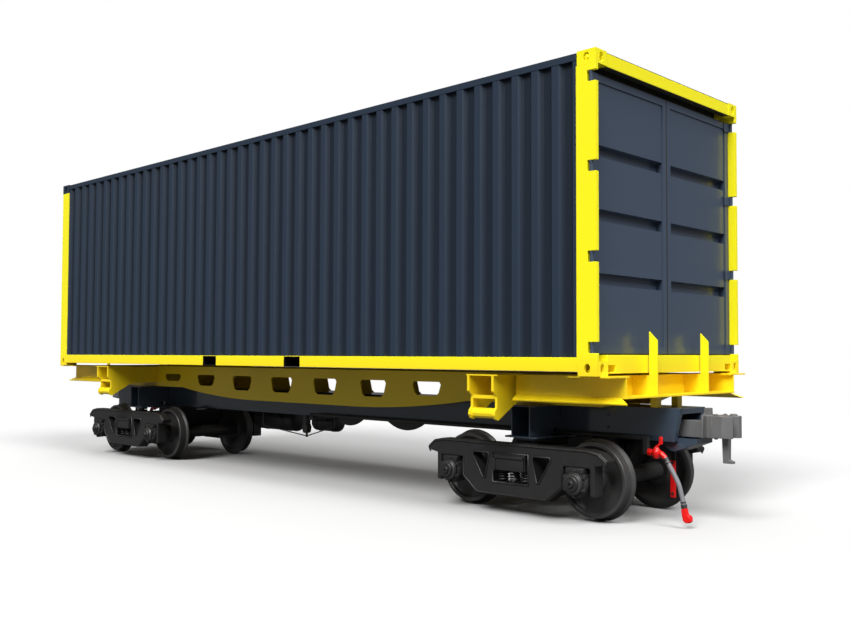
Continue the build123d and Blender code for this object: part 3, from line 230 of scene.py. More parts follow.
def makePaintGroup():  # sprayed paint: cloudy shade, soft gloss changes, fine orange peel
    inputs = (
        ("Vector", "NodeSocketVector", None),
        ("Paint", "NodeSocketColor", (0.5, 0.5, 0.5, 1)),
        ("Shade", "NodeSocketColor", (0.4, 0.4, 0.4, 1)),
        ("Cloud Scale", "NodeSocketFloat", 1.5),
        ("Gloss", "NodeSocketFloat", 0.3),
        ("Gloss Spread", "NodeSocketFloat", 0.1),
        ("Peel Scale", "NodeSocketFloat", 260.0),
        ("Peel Height", "NodeSocketFloat", 0.0002),
    )
    outputs = (("Color", "NodeSocketColor"), ("Roughness", "NodeSocketFloat"), ("Normal", "NodeSocketVector"))
    group, given, made = newGroup("sprayedPaint", inputs, outputs)
    cloud = addNoise(group, given.outputs["Vector"], given.outputs["Cloud Scale"], detail=5, roughness=0.6)
    color = addMix(group, cloud, given.outputs["Paint"], given.outputs["Shade"])
    group.links.new(color, made.inputs["Color"])
    fineScale = addMath(group, "MULTIPLY", given.outputs["Cloud Scale"], groupSettings["smearScale"])
    smear = addNoise(group, given.outputs["Vector"], fineScale, detail=3, roughness=0.5)
    spread = addMath(group, "MULTIPLY", addMath(group, "SUBTRACT", smear, 0.5), given.outputs["Gloss Spread"])
    group.links.new(addMath(group, "ADD", spread, given.outputs["Gloss"]), made.inputs["Roughness"])
    peel = addNoise(group, given.outputs["Vector"], given.outputs["Peel Scale"], detail=1, roughness=0.4)
    bump = addBump(group, peel, given.outputs["Peel Height"], strength=0.25)
    group.links.new(bump, made.inputs["Normal"])
    return group


def makeCastGroup():  # sand-cast or forged metal: grainy relief with darker hollows
    inputs = (
        ("Vector", "NodeSocketVector", None),
        ("Metal", "NodeSocketColor", (0.1, 0.1, 0.1, 1)),
        ("Hollow", "NodeSocketColor", (0.05, 0.05, 0.05, 1)),
        ("Grain Scale", "NodeSocketFloat", 120.0),
        ("Gloss", "NodeSocketFloat", 0.5),
        ("Relief", "NodeSocketFloat", 0.0008),
    )
    outputs = (("Color", "NodeSocketColor"), ("Roughness", "NodeSocketFloat"), ("Normal", "NodeSocketVector"))
    group, given, made = newGroup("castSkin", inputs, outputs)
    grain = addNoise(group, given.outputs["Vector"], given.outputs["Grain Scale"], detail=6, roughness=0.65)
    patchScale = addMath(group, "MULTIPLY", given.outputs["Grain Scale"], groupSettings["patchScale"])
    patch = addNoise(group, given.outputs["Vector"], patchScale, detail=3, roughness=0.5)
    both = addMath(group, "MULTIPLY", addMath(group, "ADD", grain, patch), 0.5)
    color = addMix(group, both, given.outputs["Hollow"], given.outputs["Metal"])
    group.links.new(color, made.inputs["Color"])
    spread = addMath(group, "MULTIPLY", addMath(group, "SUBTRACT", patch, 0.5), groupSettings["patchGloss"])
    group.links.new(addMath(group, "ADD", spread, given.outputs["Gloss"]), made.inputs["Roughness"])
    bump = addBump(group, grain, given.outputs["Relief"], strength=0.5)
    group.links.new(bump, made.inputs["Normal"])
    return group


def makePaintedLightGroup():  # painted light and shade: a tint that comes in between two distances from the middle along one axis
    inputs = (
        ("Distance", "NodeSocketFloat", 0.0),
        ("Color", "NodeSocketColor", (0.1, 0.1, 0.1, 1)),
        ("Tint", "NodeSocketColor", (0.5, 0.5, 0.5, 1)),
        ("From", "NodeSocketFloat", 0.0),
        ("To", "NodeSocketFloat", 1.0),
    )
    group, given, made = newGroup("paintedLightRange", inputs, (("Color", "NodeSocketColor"),))
    fade = group.nodes.new("ShaderNodeMapRange")
    for socket, name in (("Value", "Distance"), ("From Min", "From"), ("From Max", "To")):
        group.links.new(given.outputs[name], fade.inputs[socket])
    color = addMix(group, fade.outputs["Result"], given.outputs["Color"], given.outputs["Tint"])
    group.links.new(color, made.inputs["Color"])
    return group


def makeDustGroup():  # road dust that settles on the lower parts and fades upwards
    inputs = (
        ("Vector", "NodeSocketVector", None),
        ("Color", "NodeSocketColor", (0.1, 0.1, 0.1, 1)),
        ("Dust", "NodeSocketColor", (0.2, 0.17, 0.14, 1)),
        ("Amount", "NodeSocketFloat", 0.2),
        ("Top", "NodeSocketFloat", 0.9),
    )
    group, given, made = newGroup("roadDust", inputs, (("Color", "NodeSocketColor"),))
    split = group.nodes.new("ShaderNodeSeparateXYZ")
    group.links.new(given.outputs["Vector"], split.inputs[0])
    fall = group.nodes.new("ShaderNodeMapRange")
    fall.inputs["From Min"].default_value = 0.0
    fall.inputs["To Min"].default_value = 1.0
    fall.inputs["To Max"].default_value = 0.0
    group.links.new(split.outputs["Z"], fall.inputs["Value"])
    group.links.new(given.outputs["Top"], fall.inputs["From Max"])
    speck = addNoise(group, given.outputs["Vector"], groupSettings["speckScale"], detail=8, roughness=0.7)
    specks = addMath(group, "MULTIPLY", fall.outputs["Result"], speck)
    mask = addMath(group, "MULTIPLY", specks, given.outputs["Amount"])
    group.links.new(addMix(group, mask, given.outputs["Color"], given.outputs["Dust"]), made.inputs["Color"])
    return group


paintGroup = makePaintGroup()
castGroup = makeCastGroup()
dustGroup = makeDustGroup()
paintedLightGroup = makePaintedLightGroup()


def newMaterial(name):
    material = bpy.data.materials.new(name)
    material.use_nodes = True
    nodes, links = material.node_tree.nodes, material.node_tree.links
    place = nodes.new("ShaderNodeTexCoord").outputs["Object"]
    return material, nodes, links, nodes["Principled BSDF"], place


def placeGroup(nodes, links, group, place, values):
    node = nodes.new("ShaderNodeGroup")
    node.node_tree = group
    links.new(place, node.inputs["Vector"])
    for label, value in values.items():
        node.inputs[label].default_value = (*value, 1) if isinstance(value, tuple) else value
    return node


def skinMaterial(name, look, group):
    material, nodes, links, shader, place = newMaterial(name)
    skin = placeGroup(nodes, links, group, place, look["skin"])
    color = skin.outputs["Color"]
    if "dust" in look:
        dust = placeGroup(nodes, links, dustGroup, place, {"Amount": look["dust"], "Top": look["dustTop"]})
        links.new(color, dust.inputs["Color"])
        color = dust.outputs["Color"]
    # painted light and shade: each band mixes in a darker or lighter tone by distance along one axis
    for tint in look.get("paintedLight", ()):
        split = nodes.new("ShaderNodeSeparateXYZ")
        links.new(place, split.inputs[0])
        span = nodes.new("ShaderNodeMath")
        span.operation = "ABSOLUTE"
        links.new(split.outputs[tint["axis"]], span.inputs[0])
        fade = nodes.new("ShaderNodeGroup")
        fade.node_tree = paintedLightGroup
        fade.inputs["Tint"].default_value = (*tint["color"], 1)
        fade.inputs["From"].default_value = tint["from"]
        fade.inputs["To"].default_value = tint["to"]
        links.new(span.outputs[0], fade.inputs["Distance"])
        links.new(color, fade.inputs["Color"])
        color = fade.outputs["Color"]
    links.new(color, shader.inputs["Base Color"])
    links.new(skin.outputs["Roughness"], shader.inputs["Roughness"])
    links.new(skin.outputs["Normal"], shader.inputs["Normal"])
    for key, label in (
        ("specular", "Specular IOR Level"),
        ("coat", "Coat Weight"),
        ("coatRoughness", "Coat Roughness"),
        ("metallic", "Metallic"),
    ):
        if key in look:
            shader.inputs[label].default_value = look[key]
    return material


def woodMaterial(name, look):
    material, nodes, links, shader, place = newMaterial(name)
    stretch = nodes.new("ShaderNodeMapping")
    stretch.inputs["Scale"].default_value = look["stretch"]
    links.new(place, stretch.inputs["Vector"])
    grain = nodes.new("ShaderNodeTexNoise")
    grain.inputs["Scale"].default_value = look["grainScale"]
    grain.inputs["Detail"].default_value = look["grainDetail"]
    links.new(stretch.outputs["Vector"], grain.inputs["Vector"])
    tint = nodes.new("ShaderNodeMix")
    tint.data_type = "RGBA"
    tint.inputs["A"].default_value = (*look["dark"], 1)
    tint.inputs["B"].default_value = (*look["pale"], 1)
    links.new(grain.outputs["Fac"], tint.inputs["Factor"])
    links.new(tint.outputs["Result"], shader.inputs["Base Color"])
    bump = nodes.new("ShaderNodeBump")
    bump.inputs["Distance"].default_value = look["relief"]
    links.new(grain.outputs["Fac"], bump.inputs["Height"])
    links.new(bump.outputs["Normal"], shader.inputs["Normal"])
    shader.inputs["Roughness"].default_value = look["roughness"]
    return material


paintLooks = {
    "container_paint": {
        "skin": {
            "Paint": (0.0145, 0.0240, 0.0400), "Shade": (0.0130, 0.0215, 0.0360), "Cloud Scale": 1.2,
            "Gloss": 0.42, "Gloss Spread": 0.10, "Peel Scale": 240.0, "Peel Height": 0.0003,
        },
        "specular": 0.3,
        "coat": 0.05,
        "coatRoughness": 0.2,
        "paintedLight": (
            # painted shade in the troughs of the corrugated side walls: darker from |y| 1.14 outwards
            {"axis": "Y", "from": 1.14, "to": 1.15, "color": (0.0105, 0.0170, 0.0285)},
            # painted highlight on the corrugation crests: lighter from |y| 1.181 to 1.209 outwards
            {"axis": "Y", "from": 1.181, "to": 1.209, "color": (0.0190, 0.0310, 0.0520)},
        ),
    },
    "door_paint": {
        "skin": {
            "Paint": (0.047, 0.067, 0.103), "Shade": (0.043, 0.061, 0.095), "Cloud Scale": 1.2,
            "Gloss": 0.30, "Gloss Spread": 0.08, "Peel Scale": 240.0, "Peel Height": 0.0002,
        },
        "specular": 0.4,
        "coat": 0.15,
        "coatRoughness": 0.08,
    },
    "yellow_paint": {
        "skin": {
            "Paint": (0.95, 0.87, 0.010), "Shade": (0.92, 0.82, 0.009), "Cloud Scale": 1.6,
            "Gloss": 0.34, "Gloss Spread": 0.10, "Peel Scale": 240.0, "Peel Height": 0.0003,
        },
        "specular": 0.4,
        "coat": 0.2,
        "coatRoughness": 0.2,
        # painted shade: the yellow turns more orange below the deck, fully from z 1.26 down, fading out by z
        # 1.43
        "paintedLight": ({"axis": "Z", "from": 1.43, "to": 1.26, "color": (0.95, 0.70, 0.012)},),
    },
    "sill_paint": {
        "skin": {
            "Paint": (0.036, 0.056, 0.085), "Shade": (0.030, 0.047, 0.072), "Cloud Scale": 2.0,
            "Gloss": 0.22, "Gloss Spread": 0.08, "Peel Scale": 200.0, "Peel Height": 0.0002,
        },
        "specular": 0.4,
        "coat": 0.6,
        "coatRoughness": 0.06,
        "dust": 0.03,
        "dustTop": 1.2,
    },
    "pocket_paint": {
        "skin": {
            "Paint": (0.004, 0.004, 0.005), "Shade": (0.003, 0.003, 0.004), "Cloud Scale": 3.0,
            "Gloss": 0.45, "Gloss Spread": 0.12, "Peel Scale": 200.0, "Peel Height": 0.0003,
        },
        "specular": 0.4,
        "coat": 0.0,
        "coatRoughness": 0.3,
    },
    "brake_grey": {
        "skin": {
            "Paint": (0.022, 0.023, 0.025), "Shade": (0.016, 0.017, 0.018), "Cloud Scale": 5.0,
            "Gloss": 0.38, "Gloss Spread": 0.14, "Peel Scale": 260.0, "Peel Height": 0.0003,
        },
        "specular": 0.4,
        "coat": 0.1,
        "coatRoughness": 0.2,
        "dust": 0.15,
        "dustTop": 0.9,
    },
    "fitting_red": {
        "skin": {
            "Paint": (0.85, 0.010, 0.008), "Shade": (0.70, 0.007, 0.006), "Cloud Scale": 18.0,
            "Gloss": 0.32, "Gloss Spread": 0.12, "Peel Scale": 320.0, "Peel Height": 0.0003,
        },
        "specular": 0.4,
        "coat": 0.3,
        "coatRoughness": 0.15,
    },
}
castLooks = {
    "bogie_cast": {
        "skin": {
            "Metal": (0.017, 0.017, 0.0175), "Hollow": (0.010, 0.010, 0.0105), "Grain Scale": 150.0,
            "Gloss": 0.46, "Relief": 0.0008,
        },
        "dust": 0.05,
        "dustTop": 0.9,
        "metallic": 0.0,
    },
    "wheel_steel": {
        "skin": {
            "Metal": (0.075, 0.074, 0.074), "Hollow": (0.045, 0.045, 0.045), "Grain Scale": 90.0,
            "Gloss": 0.42, "Relief": 0.0004,
        },
        "dust": 0.05,
        "dustTop": 0.9,
        "metallic": 0.35,
    },
    "coupler_cast": {
        "skin": {
            "Metal": (0.17, 0.17, 0.172), "Hollow": (0.115, 0.115, 0.118), "Grain Scale": 170.0,
            "Gloss": 0.42, "Relief": 0.0006,
        },
        "dust": 0.05,
        "dustTop": 0.9,
        "metallic": 0.15,
    },
    "boltSteel": {
        "skin": {
            "Metal": (0.10, 0.10, 0.10), "Hollow": (0.05, 0.05, 0.05), "Grain Scale": 240.0,
            "Gloss": 0.40, "Relief": 0.0002,
        },
        "dust": 0.05,
        "dustTop": 0.9,
        "metallic": 0.5,
    },
}
rubberLooks = {
    "hose_rubber": {
        "skin": {
            "Metal": (0.20, 0.20, 0.21), "Hollow": (0.13, 0.13, 0.14), "Grain Scale": 320.0,
            "Gloss": 0.55, "Relief": 0.0003,
        },
    },
    # black rubber of the door seals and gladhand rings, also the painted shadow on the sheets under the
    # header
    "sealRubberAndShadowBlack": {
        "skin": {
            "Metal": (0.016, 0.016, 0.017), "Hollow": (0.009, 0.009, 0.010), "Grain Scale": 320.0,
            "Gloss": 0.6, "Relief": 0.0002,
        },
    },
}
woodLooks = {
    "floor_wood": {
        "pale": (0.42, 0.25, 0.12),
        "dark": (0.20, 0.11, 0.05),
        "stretch": (0.6, 9.0, 9.0),
        "grainScale": 6.0,
        "grainDetail": 8,
        "relief": 0.0008,
        "roughness": 0.55,
    },
}
finishes = {}
for looks, group in ((paintLooks, paintGroup), (castLooks, castGroup), (rubberLooks, castGroup)):
    for name, look in looks.items():
        finishes[name] = skinMaterial(name, look, group)
for name, look in woodLooks.items():
    finishes[name] = woodMaterial(name, look)
for row in frame["record"]["subparts"]:
    thing = frame["nodes"][row["node"]]
    thing.data.materials.clear()
    thing.data.materials.append(finishes[row["material_slot"]])
print("finishes made:", len(finishes))


# Modelling helpers
helperSettings = {
    "merge": 0.00002,
    "seamMerge": 0.00005,
    "headEase": 0.18,
    "runSteps": 6,
}


def pickOnly(piece):
    bpy.ops.object.select_all(action="DESELECT")
    piece.select_set(True)
    bpy.context.view_layer.objects.active = piece


def applyAll(piece):
    pickOnly(piece)
    for modifier in list(piece.modifiers):
        bpy.ops.object.modifier_apply(modifier=modifier.name)


def settle(piece, name, finish, body, smoothAngle=35):
    pickOnly(piece)
    bpy.ops.object.transform_apply(location=True, rotation=True, scale=True)
    applyAll(piece)
    bpy.ops.object.mode_set(mode="EDIT")
    bpy.ops.mesh.select_all(action="SELECT")
    bpy.ops.mesh.remove_doubles(threshold=helperSettings["merge"])
    bpy.ops.mesh.normals_make_consistent(inside=False)
    bpy.ops.object.mode_set(mode="OBJECT")
    bpy.ops.object.shade_smooth_by_angle(angle=radians(smoothAngle))
    piece.name = name
    piece.data.name = name
    piece.data.materials.clear()
    piece.data.materials.append(finishes[finish])
    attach(piece, body)
    return piece


def addBevel(piece, width, segments=3, angle=30):  # angle in degrees; flatter edges stay sharp
    bevel = piece.modifiers.new("edges", "BEVEL")
    bevel.width = width
    bevel.segments = segments
    bevel.limit_method = "ANGLE"
    bevel.angle_limit = radians(angle)
    return bevel


def cloneAt(piece, shift, turn=0):
    copy = piece.copy()
    copy.data = piece.data.copy()
    bpy.context.scene.collection.objects.link(copy)
    copy.location = shift
    copy.rotation_euler.z += turn
    return copy


def joinAll(pieces):
    bpy.ops.object.select_all(action="DESELECT")
    for piece in pieces:
        piece.select_set(True)
    bpy.context.view_layer.objects.active = pieces[0]
    bpy.ops.object.join()
    bpy.ops.object.transform_apply(location=True, rotation=True, scale=True)
    return bpy.context.object


def turned(stations, segments, closed=False):  # lathe along +Y: each station is (along, radius)
    along, radius = stations[0]
    bpy.ops.object.select_all(action="DESELECT")
    bpy.ops.mesh.primitive_circle_add(
        vertices=segments,
        radius=radius,
        fill_type="NOTHING" if closed else "NGON",
        location=(0, along, 0),
        rotation=(radians(90), 0, 0),
    )
    piece = bpy.context.object
    bpy.ops.object.transform_apply(location=True, rotation=True, scale=True)
    bpy.ops.object.mode_set(mode="EDIT")
    bpy.ops.mesh.select_all(action="SELECT")
    for nextAlong, nextRadius in stations[1:]:
        move = {"value": (0, nextAlong - along, 0)}
        if closed:
            bpy.ops.mesh.extrude_edges_move(TRANSFORM_OT_translate=move)
        else:
            bpy.ops.mesh.extrude_region_move(TRANSFORM_OT_translate=move)
        ratio = nextRadius / radius
        bpy.ops.transform.resize(value=(ratio, 1, ratio), center_override=(0, nextAlong, 0))
        along, radius = nextAlong, nextRadius
    if closed:
        bpy.ops.mesh.select_all(action="SELECT")
        bpy.ops.mesh.remove_doubles(threshold=helperSettings["seamMerge"])
    bpy.ops.object.mode_set(mode="OBJECT")
    return piece


def block(low, high, bevel=0):  # box between two corners, with its edges eased
    size = [top - bottom for bottom, top in zip(low, high)]
    middle = [(top + bottom) / 2 for bottom, top in zip(low, high)]
    bpy.ops.object.select_all(action="DESELECT")
    bpy.ops.mesh.primitive_cube_add(size=1, location=middle)
    piece = bpy.context.object
    piece.scale = size
    bpy.ops.object.transform_apply(location=True, rotation=True, scale=True)
    if bevel:
        addBevel(piece, bevel)
        applyAll(piece)
    return piece


print("helpers ready")

# Wheelsets: turned axle with two dished wheels, journals and bolted end caps
wheelSettings = {
    "segments": 96,
    "axleZ": 0.355,
    "axles": {"near_outer": 4.1, "near_inner": 2.7, "far_inner": -2.7, "far_outer": -4.1},
    "half": (
        (0.0, 0.074), (0.30, 0.074), (0.43, 0.078), (0.464, 0.078), (0.464, 0.122), (0.480, 0.132),
        (0.492, 0.150), (0.496, 0.235), (0.486, 0.272), (0.466, 0.292), (0.464, 0.298), (0.464, 0.346),
        (0.468, 0.353), (0.475, 0.355), (0.483, 0.3525), (0.489, 0.345), (0.494, 0.334), (0.501, 0.3285),
        (0.581, 0.3255), (0.5875, 0.320), (0.5875, 0.296), (0.584, 0.291), (0.567, 0.286), (0.553, 0.272),
        (0.540, 0.236), (0.534, 0.180), (0.538, 0.140), (0.548, 0.124), (0.572, 0.116), (0.583, 0.112),
        (0.5875, 0.106), (0.5875, 0.072), (0.592, 0.068), (0.655, 0.068), (0.660, 0.060), (0.876, 0.060),
        (0.876, 0.078), (0.880, 0.082), (0.892, 0.082), (0.897, 0.077), (0.897, 0.030), (0.894, 0.026),
    ),
    "capFace": 0.897,
    "boltRing": 0.052,
    "boltRadius": 0.0125,
    "boltRise": 0.009,
    "boltCount": 3,
    "boltSunk": 0.004,
    "boltBevel": 0.0015,
    "smoothAngle": 32,
}
half = wheelSettings["half"]
profile = [(-along, radius) for along, radius in reversed(half[1:])] + list(half)
wheelModel = turned(profile, wheelSettings["segments"])
bolts = []
for side in (-1, 1):
    for step in range(wheelSettings["boltCount"]):
        turn = radians(90 + 360 * step / wheelSettings["boltCount"])
        ring, rise, sunk = wheelSettings["boltRing"], wheelSettings["boltRise"], wheelSettings["boltSunk"]
        out = wheelSettings["capFace"] + rise / 2 - sunk / 2
        bpy.ops.mesh.primitive_cylinder_add(
            vertices=6,
            radius=wheelSettings["boltRadius"],
            depth=rise + sunk,
            location=(ring * cos(turn), side * out, ring * sin(turn)),
            rotation=(radians(90), 0, 0),
        )
        addBevel(bpy.context.object, wheelSettings["boltBevel"], 2)
        applyAll(bpy.context.object)
        bolts.append(bpy.context.object)
wheelModel = joinAll([wheelModel] + bolts)
for name, x in wheelSettings["axles"].items():
    wheels = cloneAt(wheelModel, (x, 0, wheelSettings["axleZ"]))
    settle(wheels, "wheels_" + name, "wheel_steel", "wheelset_" + name, wheelSettings["smoothAngle"])
    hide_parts("wheelset_" + name)
bpy.data.objects.remove(wheelModel)
print("wheelsets turned")

# Bearing housings with their adapters under the side frames
bearingSettings = {
    "segments": 64,
    "ring": (
        (0.668, 0.064), (0.668, 0.098), (0.674, 0.104), (0.690, 0.106), (0.694, 0.117), (0.700, 0.121),
        (0.756, 0.121), (0.762, 0.114), (0.786, 0.114), (0.792, 0.121), (0.842, 0.121), (0.848, 0.117),
        (0.858, 0.114), (0.862, 0.098), (0.886, 0.096), (0.892, 0.090), (0.892, 0.066), (0.912, 0.064),
        (0.918, 0.058), (0.918, 0.034), (0.932, 0.032), (0.936, 0.028), (0.936, 0.010), (0.866, 0.010),
        (0.866, 0.064), (0.668, 0.064),
    ),
    "adapterLow": (-0.088, 0.674, 0.078),
    "adapterHigh": (0.088, 0.866, 0.1295),
    "adapterBevel": 0.008,
    "lugRing": 0.104,
    "lugRadius": 0.020,
    "lugRise": 0.040,
    "lugSides": 24,
    "lugY": 0.850,
    "lugCount": 6,
    "lugTurn": 30,
    "boltRadius": 0.012,
    "boltRise": 0.016,
    "boltY": 0.876,
    "middles": {"near": 3.4, "far": -3.4},
    "halfBase": 0.7,
}


def boltHead(place, radius, rise, axis="Y", sides=6):
    turn = {"X": (0, radians(90), 0), "Y": (radians(90), 0, 0), "Z": (0, 0, 0)}[axis]
    bpy.ops.object.select_all(action="DESELECT")
    bpy.ops.mesh.primitive_cylinder_add(
        vertices=sides,
        radius=radius,
        depth=rise,
        location=place,
        rotation=turn,
    )
    head = bpy.context.object
    bpy.ops.object.transform_apply(location=True, rotation=True, scale=True)
    addBevel(head, min(radius, rise) * helperSettings["headEase"], 2)
    applyAll(head)
    return head


made = [turned(bearingSettings["ring"], bearingSettings["segments"], closed=True)]
adapterLow, adapterHigh = bearingSettings["adapterLow"], bearingSettings["adapterHigh"]
made.append(block(adapterLow, adapterHigh, bearingSettings["adapterBevel"]))
for step in range(bearingSettings["lugCount"]):
    turn = radians(bearingSettings["lugTurn"] + 360 * step / bearingSettings["lugCount"])
    ring = bearingSettings["lugRing"]
    x, z = ring * cos(turn), ring * sin(turn)
    lugPlace, boltPlace = (x, bearingSettings["lugY"], z), (x, bearingSettings["boltY"], z)
    lugRadius, lugRise = bearingSettings["lugRadius"], bearingSettings["lugRise"]
    made.append(boltHead(lugPlace, lugRadius, lugRise, sides=bearingSettings["lugSides"]))
    made.append(boltHead(boltPlace, bearingSettings["boltRadius"], bearingSettings["boltRise"]))
bearingModel = joinAll(made)
for name, middle in bearingSettings["middles"].items():
    housings = []
    for axle in (-1, 1):
        x = middle + axle * bearingSettings["halfBase"]
        for turn in (0, pi):
            housings.append(cloneAt(bearingModel, (x, 0, wheelSettings["axleZ"]), turn))
    housings = joinAll(housings)
    settle(housings, "bearing_housings_" + name, "bogie_cast", "bogie_" + name)
    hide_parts("bearings_" + name)
bpy.data.objects.remove(bearingModel)
print("bearings built")

# Coil springs between the side frames and the bolster
springSettings = {
    "coilRadius": 0.037,
    "wireRadius": 0.0095,
    "wireSides": 12,
    "turns": 4,
    "stepsPerTurn": 24,
    "low": 0.285,
    "high": 0.402,
    "seatRadius": 0.048,
    "seatHeight": 0.006,
    "seatSides": 32,
    "spots": (-0.128, 0, 0.128),
    "y": 0.770,
    "smoothAngle": 50,
}
bpy.ops.object.select_all(action="DESELECT")
bpy.ops.mesh.primitive_circle_add(
    vertices=springSettings["wireSides"],
    radius=springSettings["wireRadius"],
    location=(springSettings["coilRadius"], 0, springSettings["low"] + springSettings["wireRadius"]),
    rotation=(radians(90), 0, 0),
)
springModel = bpy.context.object
bpy.ops.object.transform_apply(location=True, rotation=True, scale=True)
coil = springModel.modifiers.new("coil", "SCREW")
coil.angle = 2 * pi
coil.iterations = springSettings["turns"]
coil.steps = coil.render_steps = springSettings["stepsPerTurn"]
travel = springSettings["high"] - springSettings["low"] - 2 * springSettings["wireRadius"]
coil.screw_offset = travel / springSettings["turns"]
applyAll(springModel)
bpy.ops.object.mode_set(mode="EDIT")
bpy.ops.mesh.select_all(action="SELECT")
bpy.ops.mesh.fill_holes(sides=0)
bpy.ops.object.mode_set(mode="OBJECT")
seats = []
seatRadius, seatHeight = springSettings["seatRadius"], springSettings["seatHeight"]
for z in (springSettings["low"] + seatHeight / 2, springSettings["high"] - seatHeight / 2):
    seats.append(boltHead((0, 0, z), seatRadius, seatHeight, "Z", springSettings["seatSides"]))
springModel = joinAll([springModel] + seats)
for name, middle in bearingSettings["middles"].items():
    nest = []
    for side in (-1, 1):
        for x in springSettings["spots"]:
            nest.append(cloneAt(springModel, (middle + x, side * springSettings["y"], 0)))
    nest = joinAll(nest)
    settle(nest, "spring_nests_" + name, "bogie_cast", "bogie_" + name, springSettings["smoothAngle"])
    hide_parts("springs_" + name)
bpy.data.objects.remove(springModel)
print("springs built")


def rod(points, radius, closed=False, smooth=False, sides=8):  # round bar along a run of points, as a mesh
    data = bpy.data.curves.new("rod", "CURVE")
    data.dimensions = "3D"
    data.bevel_depth = radius
    data.bevel_resolution = max(1, sides // 4)
    data.use_fill_caps = not closed
    spline = data.splines.new("NURBS" if smooth else "POLY")
    spline.points.add(len(points) - 1)
    for point, place in zip(spline.points, points):
        point.co = (*place, 1)
    if smooth:
        spline.order_u = 3
        spline.use_endpoint_u = True
        spline.resolution_u = helperSettings["runSteps"]
    spline.use_cyclic_u = closed
    thing = bpy.data.objects.new("rod", data)
    bpy.context.scene.collection.objects.link(thing)
    pickOnly(thing)
    bpy.ops.object.convert(target="MESH")
    return bpy.context.object


# Rolled lips round the side frames' windows and along their chords
frameSettings = {
    "face": 0.835,
    "lipRadius": 0.009,
    "window": ((-0.2, 0.285), (0.2, 0.285), (0.2, 0.550), (-0.2, 0.550)),
    "slot": ((0.243, 0.528), (0.262, 0.545), (0.428, 0.545), (0.440, 0.520), (0.318, 0.318), (0.290, 0.318)),
    "chord": (
        (-0.985, 0.520), (-1.005, 0.560), (-0.930, 0.620), (-0.820, 0.640), (0.820, 0.640), (0.930, 0.620),
        (1.005, 0.560), (0.985, 0.520),
    ),
    "foot": (
        (-0.565, 0.485), (-0.565, 0.300), (-0.400, 0.165), (0.400, 0.165), (0.565, 0.300), (0.565, 0.485),
    ),
    "chordInset": 0.014,
    "middleZ": 0.4,
    "smoothAngle": 60,
}


def insetPoint(point, middle, inset):  # a point of the outline moved towards the frame's middle
    x, z = point
    return x - inset * (1 if x > 0 else -1), z + inset * (1 if z < middle else -1)


for name, middle in bearingSettings["middles"].items():
    lips = []
    for side in (-1, 1):
        y = side * frameSettings["face"]
        for mirror in (-1, 1):
            slot = [(middle + mirror * x, y, z) for x, z in frameSettings["slot"]]
            lips.append(rod(slot, frameSettings["lipRadius"], closed=True))
        window = [(middle + x, y, z) for x, z in frameSettings["window"]]
        lips.append(rod(window, frameSettings["lipRadius"], closed=True))
        for run in ("chord", "foot"):
            inset = frameSettings["chordInset"]
            points = [insetPoint(point, frameSettings["middleZ"], inset) for point in frameSettings[run]]
            lips.append(rod([(middle + x, y, z) for x, z in points], frameSettings["lipRadius"]))
    lips = joinAll(lips)
    settle(lips, "frame_lips_" + name, "bogie_cast", "bogie_" + name, frameSettings["smoothAngle"])
print("side frames edged")

# Bolster ends, standing out of the side frames' windows
endSettings = {
    "plate": ((-0.168, 0.80, 0.400), (0.168, 0.872, 0.520)),
    "topRib": ((-0.168, 0.80, 0.505), (0.168, 0.884, 0.530)),
    "sideRib": ((0.140, 0.80, 0.395), (0.168, 0.884, 0.530)),
    "bevel": 0.006,
}
parts = [endSettings["plate"], endSettings["topRib"], endSettings["sideRib"]]
plateModel = joinAll([block(low, high, endSettings["bevel"]) for low, high in parts])
for name, middle in bearingSettings["middles"].items():
    ends = joinAll([cloneAt(plateModel, (middle, 0, 0), turn) for turn in (0, pi)])
    settle(ends, "bolster_ends_" + name, "bogie_cast", "bogie_" + name)
bpy.data.objects.remove(plateModel)
print("bolster ends built")

# Brake hoses with their collars, and the cocks and gladhands they run between
hoseSettings = {
    "y": -0.30,
    "route": ((4.636, 0.556), (4.741, 0.395), (4.775, 0.294), (4.803, 0.166)),
    "diameter": 0.040,
    "length": 0.429,
    "collars": (
        ((4.6305, 0.5645), (4.6455, 0.5415)),
        ((4.652, 0.5315), (4.659, 0.5208)),
        ((4.7965, 0.196), (4.8025, 0.168)),
        ((4.7915, 0.2185), (4.7935, 0.2095)),
    ),
    "collarRadius": 0.0255,
    "collarSides": 24,
    "roundness": 6,
    "resolution": 16,
    "smoothAngle": 50,
}
cockSettings = {
    "bore": ((4.480, 0.605), (4.560, 0.606), (4.604, 0.600), (4.636, 0.556)),
    "boreRadius": 0.023,
    "boreSides": 24,
    "plug": (
        (0.556, 0.012), (0.556, 0.020), (0.562, 0.026), (0.574, 0.030), (0.590, 0.037), (0.606, 0.040),
        (0.622, 0.037), (0.634, 0.030), (0.640, 0.024), (0.650, 0.022), (0.652, 0.012),
    ),
    "plugX": 4.548,
    "plugSegments": 40,
    "nut": ((4.472, 0.605), (4.500, 0.605)),
    "nutRadius": 0.031,
    "handle": ((4.548, 0.648), (4.560, 0.664), (4.585, 0.684), (4.590, 0.742)),
    "handleRadius": 0.010,
    "handleSides": 12,
    "grip": ((4.574, -0.308, 0.676), (4.606, -0.292, 0.742)),
    "gripBevel": 0.005,
    "topBolt": (0.655, 0.014, 0.016),
    "smoothAngle": 45,
}


def endPoint(end, x, z):  # the far end is the near end turned half round
    return end * x, end * hoseSettings["y"], z


